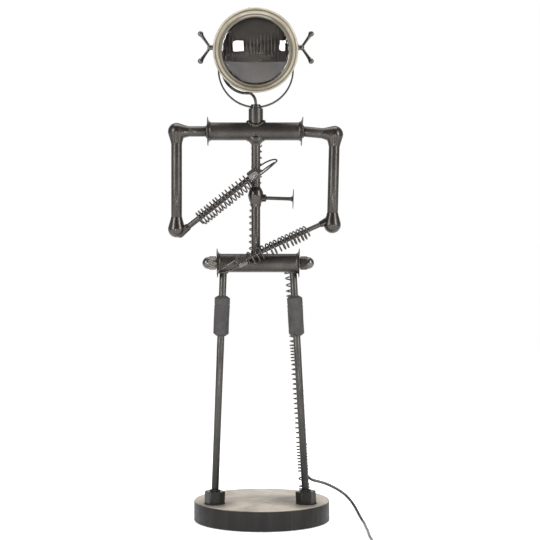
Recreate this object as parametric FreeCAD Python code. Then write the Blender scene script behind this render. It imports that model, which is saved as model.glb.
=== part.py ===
import FreeCAD, Part
import math
import os

# A desk lamp in the shape of a standing figure, welded from bars, tube, cast ball ends, nuts and springs,
# with a round headlamp for its head. Millimetres. +Z is up, the figure faces -Y, and its left-hand pieces
# are the ones on the viewer's left, at lower X. The origin is the centre of the base's underside.

Vec = FreeCAD.Vector
UP = Vec(0, 0, 1)
SIDES = {"left": -1, "right": 1}

# Fits
moving_gap = 0.3
pivot_play = 0.08
seat_depth = 0.3

# Base
base_radius = 121.7
base_height = 36.0
base_top_web = 14.0
base_wall = 20.0
base_edge_round = 1.6
base_ledge_width = 6.0
base_ledge_height = 4.0
board_proud = 1.0
board_let_in = 4.0
board_play = 0.2

# Where the figure stands and how it is laid out
figure_y = -45.0
column_x = -10.3
waist_z = 462.8
shoulder_z = 695.8

# Legs
leg_radius = 6.4
hip_x = {"left": -67.3, "right": 54.8}
foot_x = {"left": -83.3, "right": 78.9}
foot_nut_flats = 31.0
foot_nut_height = 22.0
knee_z = 369.4
knee_length = 63.0
knee_radius = 13.7
knee_end_radius = 7.6
knee_shoulder = 4.2
knee_groove_up = 12.0
knee_groove_depth = 0.6

# Waist tube, shoulder tube and what closes them
waist_radius = 16.5
waist_left_x = -78.9
waist_right_x = 66.8
shoulder_radius = 16.0
shoulder_left_x = -95.9
shoulder_right_x = 72.0
tube_wall = 3.0
flare_radius = 25.8
flare_sweep = 6.5
flare_lip = 1.1
flare_root = 1.9
end_plate_depth = 4.0
waist_rod_radius = 7.0
cap_nut_flats = 21.0
cap_nut_hex_length = 13.2
cap_nut_length = 26.1
cap_nut_dome = 10.6
cap_nut_collar = 1.4
cap_nut_thread_depth = 13.0

# Spine, its cast knuckle and the engine valve that points to the right
spine_radius = 7.8
spine_flare_radius = 14.6
spine_flare_height = 5.0
spine_flare_brim = 0.8
knuckle_z = 582.0
knuckle_radius = 13.5
knuckle_collar_radius = 8.7
knuckle_up = 16.0
knuckle_down = 20.0
boss_drop = 4.2
boss_radius = 7.0
boss_reach = 18.7
valve_stem_radius = 3.3
valve_stem_length = 46.0
valve_head_radius = 17.4
valve_head_edge = 1.2
valve_throat = 3.4
valve_droop = 2.0
valve_hole_depth = 12.0

# Arms
stub_radius = 9.3
arm_radius = 9.6
port_length = 21.0
port_lip = 0.7
shoulder_ball = {"left": Vec(-150.5, figure_y, 695.6), "right": Vec(129.0, figure_y, 690.3)}
elbow_ball = {"left": Vec(-150.5, figure_y, 523.0), "right": Vec(125.0, figure_y, 530.6)}
shoulder_ball_radius = 15.4
elbow_ball_radius = 15.2
# The forearms leave the elbow balls off centre, the left one low and the right one high.
forearm_root = {"left": Vec(-144.5, figure_y, 515.4), "right": Vec(121.1, figure_y, 539.0)}
forearm_root_radius = 8.2
forearm_radius = {"left": 5.0, "right": 4.2}
forearm_port_length = 20.0
forearm_port_lip = 1.4
forearm_socket = 8.0
hand_centre = {"left": Vec(-14.0, -64.5, 617.6), "right": Vec(-35.4, -77.0, 467.4)}
hand_nut_flats = 18.0
hand_nut_length = 17.0

# Forearm springs
spring_wire_radius = 1.35
spring_coil_radius = {"left": 13.2, "right": 11.4}
spring_turns = {"left": 16, "right": 15}
spring_start = {"left": 42.0, "right": 46.0}
spring_hand_gap = 3.0
spring_droop = 2.7
spring_hook_radius = 3.2

# Hand loops, bent from wire
loop_wire_radius = 1.4
loop_hole_depth = 5.0

# Neck
neck_radius = 12.8
neck_top_z = 736.0
nipple_radius = 5.0
nipple_bore = 3.1
nipple_flange = 6.0
neck_washer_radius = 11.0
neck_washer_height = 0.7
neck_cap_radius = 8.8
neck_cap_height = 2.6

# Yoke
strap_thickness = 3.0
strap_width = 16.0
yoke_inside_bowl = 3.8
yoke_arm = 39.8
yoke_pad_radius = 9.5
yoke_pad_height = 3.4

# Headlamp, measured along its own axis forward of the pivots
lamp_tilt = 15.0
bowl_wall = 1.4
bowl_front_radius = 71.2
bowl_middle_share = 0.713
bowl_middle_back = 10.0
bowl_front = 36.5
bowl_back = 58.0
bowl_boss_radius = 9.0
pivot_washer_height = 1.2
pivot_screw_radius = 4.0
pivot_screw_reach = 11.0
rim_roll = 2.1
rim_back = 27.0
rim_lip = 2.8
lens_inside_bowl = 9.7
lens_front = 44.0
lens_thickness = 3.0
lens_rise = 5.0
lens_flutes = 19
lens_flute_depth = 0.9
lens_flute_land = 0.5
gasket_height = 1.6
reflector_wall = 1.2
reflector_inside_lens = 4.0
reflector_back = -14.0
bulb_holder_radius = 11.0
bulb_holder_length = 24.0
bulb_radius = 11.5
bulb_length = 27.0
rim_screw_radius = 2.2
rim_screw_angle = 98.8
grommet_wall = 3.0
grommet_height = 4.0
neck_grommet_height = 3.0
grommet_room = 0.5
bowl_grommet_angle = 215.0

# Clamp screws at the pivots
clamp_hex_flats = 13.0
clamp_hex_length = 8.0
clamp_hub_out = 13.5
clamp_hub_radius = 5.0
clamp_neck_radius = 4.6
clamp_wing_radius = 2.7
clamp_wing_length = 29.5
clamp_wing_angle = 55.0
clamp_ball_radius = 5.0

# Flex
flex_radius = 2.5
lead_y = -18.7
lead_exit_slope = 35.0
bow_steps = 6
bow_start_angle = 182.5
bow_sweep = 76.0
bow_start_inside = 7.8
bow_draw_in = 18.2
bow_start_back = 18.8
coil_centre = Vec(147.0, -286.0, 0)
coil_middle_radius = 29.7
coil_turn_pitch = 5.6
coil_layer_turns = 3.375
coil_tie_thickness = 0.8
coil_tie_width = 6.0

# Long loose spring round the lead
loose_wire_radius = 1.15
loose_coil_radius = 8.6
loose_start_rise = 6.0
loose_spine_length = 190.0
loose_spine_turns = 17
loose_waist_length = 110.0
loose_waist_turns = 9
loose_thigh_share = 0.66
loose_thigh_turns = 25
loose_shin_turns = 15
loose_exit_z = 77.5
loose_exit_gap = 22.0
loose_tail_length = 7.0
loose_tail_turns = 1.5

# Plug, two round pins on a flat body
plug_length = 35.0
plug_width = 26.0
plug_height = 13.6
plug_nose_width = 15.0
plug_nose_height = 11.0
plug_relief_length = 26.0
plug_relief_radius = 4.6
plug_pin_radius = 2.0
plug_pin_length = 19.0
plug_pin_spacing = 18.6

# Sizes that follow from the ones above
base_top = board_proud + base_height
pad_bottom = neck_top_z + neck_washer_height + moving_gap
cap_bottom = pad_bottom + yoke_pad_height + moving_gap
nipple_top = cap_bottom + neck_cap_height
yoke_radius = bowl_front_radius - yoke_inside_bowl
pivot_z = pad_bottom + yoke_radius + yoke_arm
rim_skirt = bowl_front_radius + bowl_wall
rim_radius = rim_skirt + rim_roll
lens_radius = bowl_front_radius - lens_inside_bowl
rim_opening = lens_radius - rim_lip
reflector_radius = lens_radius - reflector_inside_lens
lead_exit = Vec(0, math.cos(math.radians(lead_exit_slope)), -math.sin(math.radians(lead_exit_slope)))

parts = {}


def turned(start, *steps):
    """A solid turned about Z. Points are (height, radius); a step is a point, or (middle, end) for an arc."""

    def flat(point):
        return Vec(point[1], 0, point[0])

    edges = []
    at = start
    for step in steps + (start,):
        if isinstance(step[0], tuple):
            middle, end = step
            edges.append(Part.Arc(flat(at), flat(middle), flat(end)).toShape())
        else:
            end = step
            edges.append(Part.LineSegment(flat(at), flat(end)).toShape())
        at = end
    return Part.Face(Part.Wire(edges)).revolve(Vec(0, 0, 0), UP, 360)


def facing(shape, place, direction, spin=0.0):
    """The shape with its own origin at place and its +Z along direction, first spun about Z by spin degrees."""
    moved = shape.copy()
    turn = FreeCAD.Rotation(UP, direction).multiply(FreeCAD.Rotation(UP, spin))
    moved.Placement = FreeCAD.Placement(place, turn).multiply(moved.Placement)
    return moved


def rod(start, end, radius):
    along = end - start
    return Part.makeCylinder(radius, along.Length, start, along)


def ring(start, end, radius, bore):
    return rod(start, end, radius).cut(rod(start, end, bore))


def cone(start, end, start_radius, end_radius):
    along = end - start
    return Part.makeCone(start_radius, end_radius, along.Length, start, along)


def ball(centre, radius):
    return Part.makeSphere(radius, centre)


def hex_bar(flats, length, chamfer):
    """A hexagon along Z with its corners bevelled at both ends, standing on its own origin."""
    corner = flats / math.sqrt(3)
    corners = [
        Vec(corner * math.cos(math.radians(60 * i)), corner * math.sin(math.radians(60 * i)), 0)
        for i in range(7)
    ]
    bar = Part.Face(Part.makePolygon(corners)).extrude(Vec(0, 0, length))
    waist = flats / 2 - 0.2 * chamfer
    bevel = turned(
        (0, 0), (0, waist), (chamfer, corner), (length - chamfer, corner), (length, waist), (length, 0)
    )
    return bar.common(bevel)


def unit(vector):
    return vector * (1 / vector.Length)


def route(points, radii=None):
    """Straight runs joined by tangent arcs, as edges, with the arcs' radii. Where no radius is given for a
    corner, it is 0.45 of the shorter run divided by the tangent of half the turn."""
    edges, made = [], []
    at = points[0]
    for i in range(1, len(points) - 1):
        before, after = points[i] - points[i - 1], points[i + 1] - points[i]
        half = before.getAngle(after) / 2
        if radii and radii[i - 1]:
            radius = radii[i - 1]
        else:
            radius = 0.45 * min(before.Length, after.Length) / math.tan(half)
        back = radius * math.tan(half)
        start = points[i] - unit(before) * back
        end = points[i] + unit(after) * back
        inward = unit(unit(after) - unit(before))
        middle = points[i] + inward * (radius / math.cos(half) - radius)
        edges.append(Part.LineSegment(at, start).toShape())
        edges.append(Part.Arc(start, middle, end).toShape())
        made.append(radius)
        at = end
    edges.append(Part.LineSegment(at, points[-1]).toShape())
    return edges, made


def tube_along(edges, radius):
    """A round wire or flex along joined edges."""
    first = edges[0]
    start = first.valueAt(first.FirstParameter)
    heading = first.tangentAt(first.FirstParameter)
    section = Part.Wire(Part.makeCircle(radius, start, heading))
    return Part.Wire(edges).makePipeShell([section], True, False)


def flex(name, points, radii=None):
    """A length of flex along a route, printed with its radii and its volume against section times length."""
    edges, made = route(points, radii)
    length = sum(edge.Length for edge in edges)
    solid = tube_along(edges, flex_radius)
    share = solid.Volume / (math.pi * flex_radius**2 * length)
    tightest = min(made)
    print(f"{name}: {length:.0f} mm, {len(points)} points, tightest radius {tightest:.1f} mm, volume share {share:.4f}")
    print("  radii", " ".join(f"{radius:.0f}" for radius in made))
    return solid, length


def biarc(start, heading, end, leaving):
    """Two arcs that leave start along heading and reach end along leaving."""
    span = end - start
    both = heading + leaving
    slack = 2 * (1 - heading.dot(leaving))
    across = span.dot(both)
    if slack < 1e-9:
        reach = span.dot(span) / (2 * across)
    else:
        reach = (math.sqrt(across * across + slack * span.dot(span)) - across) / slack
    corners = (start + heading * reach, end - leaving * reach)
    joint = (corners[0] + corners[1]) * 0.5
    arcs = []
    for a, corner, b in ((start, corners[0], joint), (joint, corners[1], end)):
        chord_middle = (a + b) * 0.5
        half_chord = (b - a).Length / 2
        turn = math.acos(min(1.0, half_chord / reach))
        middle = chord_middle + (corner - chord_middle) * (math.tan(turn / 2) / math.tan(turn))
        arcs.append(Part.Arc(a, middle, b).toShape())
    return arcs


def through(stations):
    """Biarcs through a list of (point, heading)."""
    edges = []
    for (start, heading), (end, leaving) in zip(stations, stations[1:]):
        edges += biarc(start, heading, end, leaving)
    return edges


def self_gap(edges, radius, apart):
    """The least gap between stretches of one wire that lie further along it than apart."""
    points, along, travelled = [], [], 0.0
    step = 2.5 * radius
    for edge in edges:
        count = max(1, int(edge.Length / step))
        for i in range(count):
            parameter = edge.getParameterByLength(edge.Length * i / count)
            points.append(edge.valueAt(parameter))
            along.append(travelled + edge.Length * i / count)
        travelled += edge.Length
    least = min(
        (points[j] - points[i]).Length
        for i in range(len(points))
        for j in range(i + 1, len(points))
        if along[j] - along[i] > apart
    )
    return least - 2 * radius


def wound(name, edges, radius, apart):
    """A wound wire as a solid, printed with its length and its least gap to itself."""
    length = sum(edge.Length for edge in edges)
    print(f"{name}: {length:.0f} mm of wire, least self gap {self_gap(edges, radius, apart):.2f} mm")
    return tube_along(edges, radius)


# Base: a cast disc, hollow underneath, with a board let into it that the lamp stands on.
def make_base():
    inner = base_radius - base_wall
    ceiling = base_top - base_top_web
    ledge_z = board_proud + board_let_in
    edge = base_edge_round
    slope = edge * (1 - math.sqrt(0.5))
    disc = turned(
        (board_proud, inner),
        (board_proud, base_radius - edge),
        ((board_proud + slope, base_radius - slope), (board_proud + edge, base_radius)),
        (base_top - edge, base_radius),
        ((base_top - slope, base_radius - slope), (base_top, base_radius - edge)),
        (base_top, 0),
        (ceiling, 0),
        (ceiling, inner),
    )
    board = turned((0, 0), (0, inner - 1), (1, inner - board_play), (ledge_z, inner - board_play), (ledge_z, 0))
    ledge = turned((ledge_z, inner - base_ledge_width), (ledge_z, inner), (ledge_z + base_ledge_height, inner),
                   (ledge_z + base_ledge_height, inner - base_ledge_width))
    parts["base_disc"] = disc.fuse(ledge).removeSplitter()
    parts["base_board"] = board


# Legs: one straight rod each side, from the base up to the waist tube, through a foot nut and a knee sleeve.
def leg_ends(side):
    return Vec(foot_x[side], figure_y, base_top), Vec(hip_x[side], figure_y, waist_z)


def make_legs():
    waist = rod(Vec(waist_left_x, figure_y, waist_z), Vec(waist_right_x, figure_y, waist_z), waist_radius)
    nuts = []
    for side in SIDES:
        foot, hip = leg_ends(side)
        along = unit(hip - foot)
        longer = rod(foot - along * leg_radius, hip, leg_radius)
        inside_base = Part.makeBox(4 * leg_radius, 4 * leg_radius, 4 * leg_radius,
                                   foot - Vec(2 * leg_radius, 2 * leg_radius, 4 * leg_radius))
        parts["leg_" + side] = longer.cut(waist).cut(inside_base)
        nut = facing(hex_bar(foot_nut_flats, foot_nut_height, 2.0), Vec(foot.x, foot.y, base_top), UP)
        nuts.append(nut.cut(longer))
        knee = foot + along * ((knee_z - base_top) / along.z)
        half = knee_length / 2
        groove = half - knee_groove_up
        sleeve = turned(
            (-half - knee_shoulder, leg_radius),
            (-half - knee_shoulder, knee_end_radius),
            (-half, knee_radius),
            (groove - 1.5, knee_radius),
            ((groove, knee_radius - knee_groove_depth), (groove + 1.5, knee_radius)),
            (half, knee_radius),
            (half + knee_shoulder, knee_end_radius),
            (half + knee_shoulder, leg_radius),
        )
        parts["knee_sleeve_" + side] = facing(sleeve, knee, along)
    parts["foot_nuts"] = Part.makeCompound(nuts)


# Waist and shoulders: tubes whose ends are spun out into thin flares and closed by plates.
def flared_tube(left_x, right_x, radius, height):
    bore = radius - tube_wall
    length = right_x - left_x
    turn = flare_sweep * math.sqrt(0.5)
    root = flare_root + flare_sweep
    tube = turned(
        (0, bore),
        (0, flare_radius),
        (flare_lip, flare_radius),
        (flare_root, radius + flare_sweep),
        ((root - turn, radius + flare_sweep - turn), (root, radius)),
        (length - root, radius),
        ((length - root + turn, radius + flare_sweep - turn), (length - flare_root, radius + flare_sweep)),
        (length - flare_lip, flare_radius),
        (length, flare_radius),
        (length, bore),
    )
    return facing(tube, Vec(left_x, figure_y, height), Vec(1, 0, 0))


def end_plates(left_x, right_x, radius, height, bore):
    plates = []
    for x, inward in ((left_x, 1), (right_x, -1)):
        outer = Vec(x, figure_y, height)
        inner = Vec(x + inward * end_plate_depth, figure_y, height)
        plate = rod(outer, inner, radius)
        if bore:
            plate = plate.cut(rod(outer, inner, bore))
        plates.append(plate)
    return Part.makeCompound(plates)


def cap_nut():
    """A domed nut along +Z with its seat on its own origin."""
    seat = Part.makeCylinder(cap_nut_flats / 2 - 1, cap_nut_collar)
    hexagon = facing(hex_bar(cap_nut_flats, cap_nut_hex_length, 1.2), Vec(0, 0, cap_nut_collar), UP)
    dome_centre = Vec(0, 0, cap_nut_length - cap_nut_dome)
    dome = ball(dome_centre, cap_nut_dome).common(
        Part.makeCylinder(cap_nut_dome, cap_nut_length, Vec(0, 0, cap_nut_collar))
    )
    hole = Part.makeCylinder(waist_rod_radius, cap_nut_thread_depth)
    return seat.fuse(hexagon).fuse(dome).removeSplitter().cut(hole)


def make_waist():
    parts["waist_tube"] = flared_tube(waist_left_x, waist_right_x, waist_radius, waist_z)
    parts["waist_end_plates"] = end_plates(waist_left_x, waist_right_x, waist_radius - tube_wall, waist_z,
                                           waist_rod_radius)
    ends = [Vec(waist_left_x, figure_y, waist_z), Vec(waist_right_x, figure_y, waist_z)]
    reach = Vec(cap_nut_thread_depth, 0, 0)
    parts["waist_rod"] = rod(ends[0] - reach, ends[1] + reach, waist_rod_radius)
    parts["waist_cap_nuts"] = Part.makeCompound(
        [facing(cap_nut(), ends[0], Vec(-1, 0, 0)), facing(cap_nut(), ends[1], Vec(1, 0, 0))]
    )


# Spine: a bar from the waist to the shoulders, broken by a cast knuckle that holds an engine valve.
def make_spine():
    waist = rod(Vec(waist_left_x, figure_y, waist_z), Vec(waist_right_x, figure_y, waist_z), waist_radius)
    shoulder = rod(Vec(shoulder_left_x, figure_y, shoulder_z), Vec(shoulder_right_x, figure_y, shoulder_z),
                   shoulder_radius)
    axis = Vec(column_x, figure_y, 0)
    knuckle_bottom = knuckle_z - knuckle_down
    knuckle_top = knuckle_z + knuckle_up
    parts["spine_lower"] = rod(axis + UP * waist_z, axis + UP * knuckle_bottom, spine_radius).cut(waist)
    bar = rod(axis + UP * knuckle_top, axis + UP * shoulder_z, spine_radius)
    brim = shoulder_z - shoulder_radius - spine_flare_brim
    flare = cone(axis + UP * (brim - spine_flare_height), axis + UP * brim, spine_radius, spine_flare_radius)
    collar = rod(axis + UP * brim, axis + UP * shoulder_z, spine_flare_radius)
    middle = axis + UP * shoulder_z
    lead_room = rod(middle, middle + lead_exit * 2 * shoulder_radius, flex_radius + grommet_wall + grommet_room)
    parts["spine_upper"] = bar.fuse(flare).fuse(collar).cut(shoulder).cut(lead_room).removeSplitter()
    body = turned(
        (-knuckle_down, 0),
        (-knuckle_down, knuckle_collar_radius),
        (4 - knuckle_down, knuckle_collar_radius),
        (-10.0, 0.79 * knuckle_radius),
        ((1.0, knuckle_radius), (8.5, 0.86 * knuckle_radius)),
        (knuckle_up, spine_radius + 0.3),
        (knuckle_up, 0),
    )
    boss_z = knuckle_z - boss_drop
    boss_chamfer = 1.8
    boss_axis = Vec(1, 0, 0)
    start = Vec(column_x, figure_y, boss_z)
    boss = rod(start, start + boss_axis * (boss_reach - boss_chamfer), boss_radius).fuse(
        cone(start + boss_axis * (boss_reach - boss_chamfer), start + boss_axis * boss_reach, boss_radius,
             boss_radius - boss_chamfer)
    )
    droop = math.radians(valve_droop)
    heading = Vec(math.cos(droop), 0, -math.sin(droop))
    mouth = start + boss_axis * boss_reach
    stem_end = valve_hole_depth + valve_stem_length
    throat = valve_stem_radius + valve_throat
    bend = valve_throat * (1 - math.sqrt(0.5))
    valve = turned(
        (0, 0),
        (0, valve_stem_radius),
        (stem_end - valve_throat, valve_stem_radius),
        ((stem_end - bend, valve_stem_radius + bend), (stem_end, throat)),
        (stem_end + 0.6, valve_head_radius - 0.5),
        (stem_end + 0.9, valve_head_radius),
        (stem_end + 0.9 + valve_head_edge, valve_head_radius),
        (stem_end + 0.9 + valve_head_edge, 0),
    )
    placed_valve = facing(valve, mouth - heading * valve_hole_depth, heading)
    stem = rod(mouth - heading * valve_hole_depth, mouth + heading * valve_hole_depth, valve_stem_radius)
    parts["spine_knuckle"] = facing(body, axis + UP * knuckle_z, UP).fuse(boss).removeSplitter().cut(stem)
    parts["engine_valve"] = placed_valve


# Arms: cast balls with necks that taper straight off them, joined by bars.
def tangent_neck(centre, radius, direction, length, end_radius):
    """A cone that leaves a ball without a break and ends at end_radius."""
    slant = math.hypot(length, end_radius)
    angle = math.atan2(end_radius, length) + math.acos(radius / slant)
    heading = unit(direction)
    start = centre + heading * (radius * math.cos(angle))
    return cone(start, centre + heading * length, radius * math.sin(angle), end_radius)


def make_arms():
    for side, out in SIDES.items():
        shoulder, elbow, hand = shoulder_ball[side], elbow_ball[side], hand_centre[side]
        tube_end = Vec(shoulder_left_x if side == "left" else shoulder_right_x, figure_y, shoulder_z)
        inward, down, up = unit(tube_end - shoulder), unit(elbow - shoulder), unit(shoulder - elbow)
        root = forearm_root[side]
        forearm = unit(hand - root)
        knuckle = ball(shoulder, shoulder_ball_radius)
        knuckle = knuckle.fuse(
            tangent_neck(shoulder, shoulder_ball_radius, inward, port_length, stub_radius + port_lip)
        ).fuse(tangent_neck(shoulder, shoulder_ball_radius, down, port_length, arm_radius + port_lip))
        parts["shoulder_knuckle_" + side] = knuckle.removeSplitter()
        flange = Part.makeBox(40, 80, 80, tube_end - Vec(40 if out > 0 else 0, 40, 40))
        stub = rod(shoulder + inward * port_length, tube_end + inward * stub_radius, stub_radius)
        parts["arm_stub_" + side] = stub.cut(flange)
        parts["upper_arm_" + side] = rod(shoulder + down * port_length, elbow + up * port_length, arm_radius)
        radius = forearm_radius[side]
        joint = ball(elbow, elbow_ball_radius)
        joint = joint.fuse(
            tangent_neck(elbow, elbow_ball_radius, up, port_length, arm_radius + port_lip)
        ).fuse(ball(root, forearm_root_radius)).fuse(
            tangent_neck(root, forearm_root_radius, forearm, forearm_port_length, radius + forearm_port_lip)
        )
        socket = rod(root + forearm * forearm_socket, root + forearm * 2 * forearm_port_length, radius)
        parts["elbow_" + side] = joint.removeSplitter().cut(socket)
        bar_end = hand + forearm * (hand_nut_length / 2 - loop_hole_depth)
        bar = rod(root + forearm * forearm_socket, bar_end, radius)
        nut_start = hand - forearm * (hand_nut_length / 2)
        nut = facing(hex_bar(hand_nut_flats, hand_nut_length, 1.5), nut_start, forearm).cut(bar)
        loop = hand_loop(side, hand, forearm)
        parts["hand_loop_" + side] = loop
        parts["hand_nut_" + side] = nut.cut(loop)
        spring, spokes = forearm_spring(side, root, forearm, nut_start)
        parts["forearm_spring_" + side] = spring
        for spoke in spokes:
            bar = bar.cut(spoke)
        parts["forearm_" + side] = bar


def hand_loop(side, hand, forearm):
    """The bent wire that makes each hand: out of the nut, round at the fingertips and back again. The left
    hand has a second wire beside the first, which joins it at the fingertips."""
    face = hand + forearm * (hand_nut_length / 2)
    inside = face - forearm * (loop_hole_depth - loop_wire_radius)
    down = below(forearm)
    if side == "left":
        back = figure_y + spine_radius + loop_wire_radius
        low, high = down * 7.2, down * 3.4
        tip = Vec(27.0, -57.0, 642.3)
        routes = [
            [inside + low, face + low + forearm * 4, Vec(12.5, -62.0, 629.0), tip,
             Vec(17.0, -44.0, 645.5), Vec(1.0, back + 2.5, 638.5), Vec(column_x + 1, back, 630.0)],
            [inside + high, face + high + forearm * 4, Vec(11.0, -60.5, 632.4), Vec(21.5, -58.2, 638.6)],
        ]
    else:
        lift = down * -4.2 + Vec(-1.0, -2.6, 0.4)
        lift -= forearm * lift.dot(forearm)
        routes = [
            [inside + lift, face + lift + forearm * 3, Vec(-60.0, -76.5, 458.5), Vec(-75.0, -75.5, 450.2),
             Vec(-74.2, -75.5, 445.9), Vec(-59.0, -75.5, 448.6), Vec(-46.0, -77.0, 453.5), inside - lift],
        ]
    wires = []
    for points in routes:
        edges, made = route(points)
        print(f"hand_loop_{side}: radii " + " ".join(f"{radius:.1f}" for radius in made))
        wires.append(tube_along(edges, loop_wire_radius))
    loop = wires[0]
    for wire in wires[1:]:
        loop = loop.fuse(wire)
    return loop


def below(heading):
    """Square to the heading and to -Y, on the lower side."""
    square = unit(heading.cross(Vec(0, -1, 0)))
    return square if square.z < 0 else square * -1


def forearm_spring(side, root, forearm, nut_start):
    """A close spring that hangs a little below the rod. Its two ends turn in and stand square on the rod."""
    rod_radius, coil = forearm_radius[side], spring_coil_radius[side]
    turns, start = round(spring_turns[side]), spring_start[side]
    down = below(forearm)
    third = forearm.cross(down)
    length = (nut_start - root).Length - spring_hand_gap - start
    pitch = length / turns
    centre_line = root + down * spring_droop
    hook = spring_hook_radius
    turn_in = math.acos(-hook / (coil - hook))
    lead_angle = math.atan2(hook * math.sin(turn_in), coil - hook * (1 - math.cos(turn_in)))
    inner = math.hypot(hook * math.sin(turn_in), coil - hook * (1 - math.cos(turn_in)))

    def station(angle):
        outward = down * math.cos(angle) + third * math.sin(angle)
        around = third * math.cos(angle) - down * math.sin(angle)
        rise = pitch / (2 * math.pi)
        place = centre_line + forearm * (start + rise * angle) + outward * coil
        return place, unit(around * coil + forearm * rise)

    first, last = lead_angle, 2 * math.pi * turns - lead_angle
    steps = 2 * turns
    stations = [station(first + (last - first) * i / steps) for i in range(steps + 1)]
    end_shift = 0.05 * pitch
    foot_in = centre_line + forearm * (start - end_shift) + down * inner
    foot_out = centre_line + forearm * (start + length + end_shift) + down * inner
    to_rod = inner + spring_droop - rod_radius + seat_depth
    edges = [Part.LineSegment(foot_in - down * to_rod, foot_in).toShape()]
    edges += biarc(foot_in, down, *stations[0])
    edges += through(stations)
    edges += biarc(*stations[-1], foot_out, down * -1)
    edges.append(Part.LineSegment(foot_out, foot_out - down * to_rod).toShape())
    spring = wound("forearm_spring_" + side, edges, spring_wire_radius, 1.6 * math.pi * coil)
    spokes = [rod(foot - down * to_rod, foot - down * (to_rod - 2 * seat_depth), spring_wire_radius)
              for foot in (foot_in, foot_out)]
    return spring, spokes


# Neck: a tube on the shoulders with a hollow pivot nipple in its top, which the yoke turns on.
def make_shoulders_and_neck():
    axis = Vec(column_x, figure_y, 0)
    shoulder = flared_tube(shoulder_left_x, shoulder_right_x, shoulder_radius, shoulder_z)
    inside = shoulder_radius - tube_wall
    lead_in = rod(axis + UP * shoulder_z, axis + UP * (shoulder_z + 2 * shoulder_radius), neck_radius - tube_wall)
    middle = axis + UP * shoulder_z
    surface = middle + lead_exit * shoulder_radius
    outer = flex_radius + grommet_wall
    brim, tip = surface + lead_exit * neck_grommet_height, surface + lead_exit * (neck_grommet_height + 2.5)
    grommet = rod(middle + lead_exit * (inside - 1), brim, outer)
    collar = cone(brim - lead_exit * 1.5, tip, outer, flex_radius + 1.2)
    grommet = grommet.fuse(collar).cut(rod(middle, tip + lead_exit * outer, flex_radius))
    back_hole = rod(middle + lead_exit * (inside - 4), surface + lead_exit * 4, outer)
    parts["shoulder_tube"] = shoulder.cut(lead_in).cut(back_hole)
    parts["shoulder_end_plates"] = end_plates(shoulder_left_x, shoulder_right_x, inside, shoulder_z, 0)
    parts["lead_grommet"] = grommet
    solid_shoulder = rod(Vec(shoulder_left_x, figure_y, shoulder_z), Vec(shoulder_right_x, figure_y, shoulder_z),
                         shoulder_radius)
    bottom, top = axis + UP * shoulder_z, axis + UP * neck_top_z
    neck_bore = neck_radius - tube_wall
    parts["neck_tube"] = rod(bottom, top, neck_radius).cut(rod(bottom, top, neck_bore)).cut(solid_shoulder)
    flange_bottom = neck_top_z - nipple_flange
    nipple = turned(
        (flange_bottom, nipple_bore),
        (flange_bottom, neck_bore),
        (neck_top_z, neck_bore),
        (neck_top_z, nipple_radius),
        (nipple_top, nipple_radius),
        (nipple_top, nipple_bore),
    )
    parts["neck_nipple"] = facing(nipple, axis, UP)
    washer_top = neck_top_z + neck_washer_height
    parts["neck_washer"] = ring(top, axis + UP * washer_top, neck_washer_radius, nipple_radius)
    chamfer = 0.6
    cap = turned(
        (cap_bottom, nipple_radius),
        (cap_bottom, neck_cap_radius),
        (nipple_top - chamfer, neck_cap_radius),
        (nipple_top, neck_cap_radius - chamfer),
        (nipple_top, nipple_radius),
    )
    parts["neck_cap"] = facing(cap, axis, UP)


# Yoke: a flat strap bent to a U, with a welded pad where it turns on the neck.
def make_yoke():
    outer, inner = yoke_radius, yoke_radius - strap_thickness
    centre_z = pad_bottom + outer
    near, far = figure_y - strap_width / 2, figure_y + strap_width / 2

    def at(x, z):
        return Vec(column_x + x, near, z)

    edges = [
        Part.LineSegment(at(-outer, pivot_z), at(-outer, centre_z)).toShape(),
        Part.Arc(at(-outer, centre_z), at(0, centre_z - outer), at(outer, centre_z)).toShape(),
        Part.LineSegment(at(outer, centre_z), at(outer, pivot_z)).toShape(),
        Part.LineSegment(at(outer, pivot_z), at(inner, pivot_z)).toShape(),
        Part.LineSegment(at(inner, pivot_z), at(inner, centre_z)).toShape(),
        Part.Arc(at(inner, centre_z), at(0, centre_z - inner), at(-inner, centre_z)).toShape(),
        Part.LineSegment(at(-inner, centre_z), at(-inner, pivot_z)).toShape(),
        Part.LineSegment(at(-inner, pivot_z), at(-outer, pivot_z)).toShape(),
    ]
    strap = Part.Face(Part.Wire(edges)).extrude(Vec(0, far - near, 0))
    axis = Vec(column_x, figure_y, 0)
    for out in SIDES.values():
        pivot = Vec(column_x, figure_y, pivot_z)
        eye = rod(pivot + Vec(out * inner, 0, 0), pivot + Vec(out * outer, 0, 0), strap_width / 2)
        strap = strap.fuse(eye)
    pad = rod(axis + UP * pad_bottom, axis + UP * (pad_bottom + yoke_pad_height), yoke_pad_radius)
    under_pad = Part.makeBox(4 * yoke_pad_radius, strap_width, outer - inner,
                             Vec(column_x - 2 * yoke_pad_radius, near, pad_bottom - (outer - inner)))
    strap = strap.fuse(pad).cut(under_pad)
    screw_hole = pivot_screw_radius + pivot_play
    ends = Vec(2 * outer, 0, 0)
    pivot = Vec(column_x, figure_y, pivot_z)
    strap = strap.cut(rod(pivot - ends, pivot + ends, screw_hole))
    swivel_hole = rod(axis + UP * (pad_bottom - 5), axis + UP * (pad_bottom + 20), nipple_radius + pivot_play)
    parts["yoke_strap"] = strap.cut(swivel_hole).removeSplitter()


# Headlamp, built with its axis along +Z, its pivots on the X axis and its top towards +Y, then set in place.
def in_lamp(shape):
    moved = shape.copy()
    turn = FreeCAD.Rotation(Vec(1, 0, 0), 90 + lamp_tilt)
    moved.Placement = FreeCAD.Placement(Vec(column_x, figure_y, pivot_z), turn).multiply(moved.Placement)
    return moved


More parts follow.
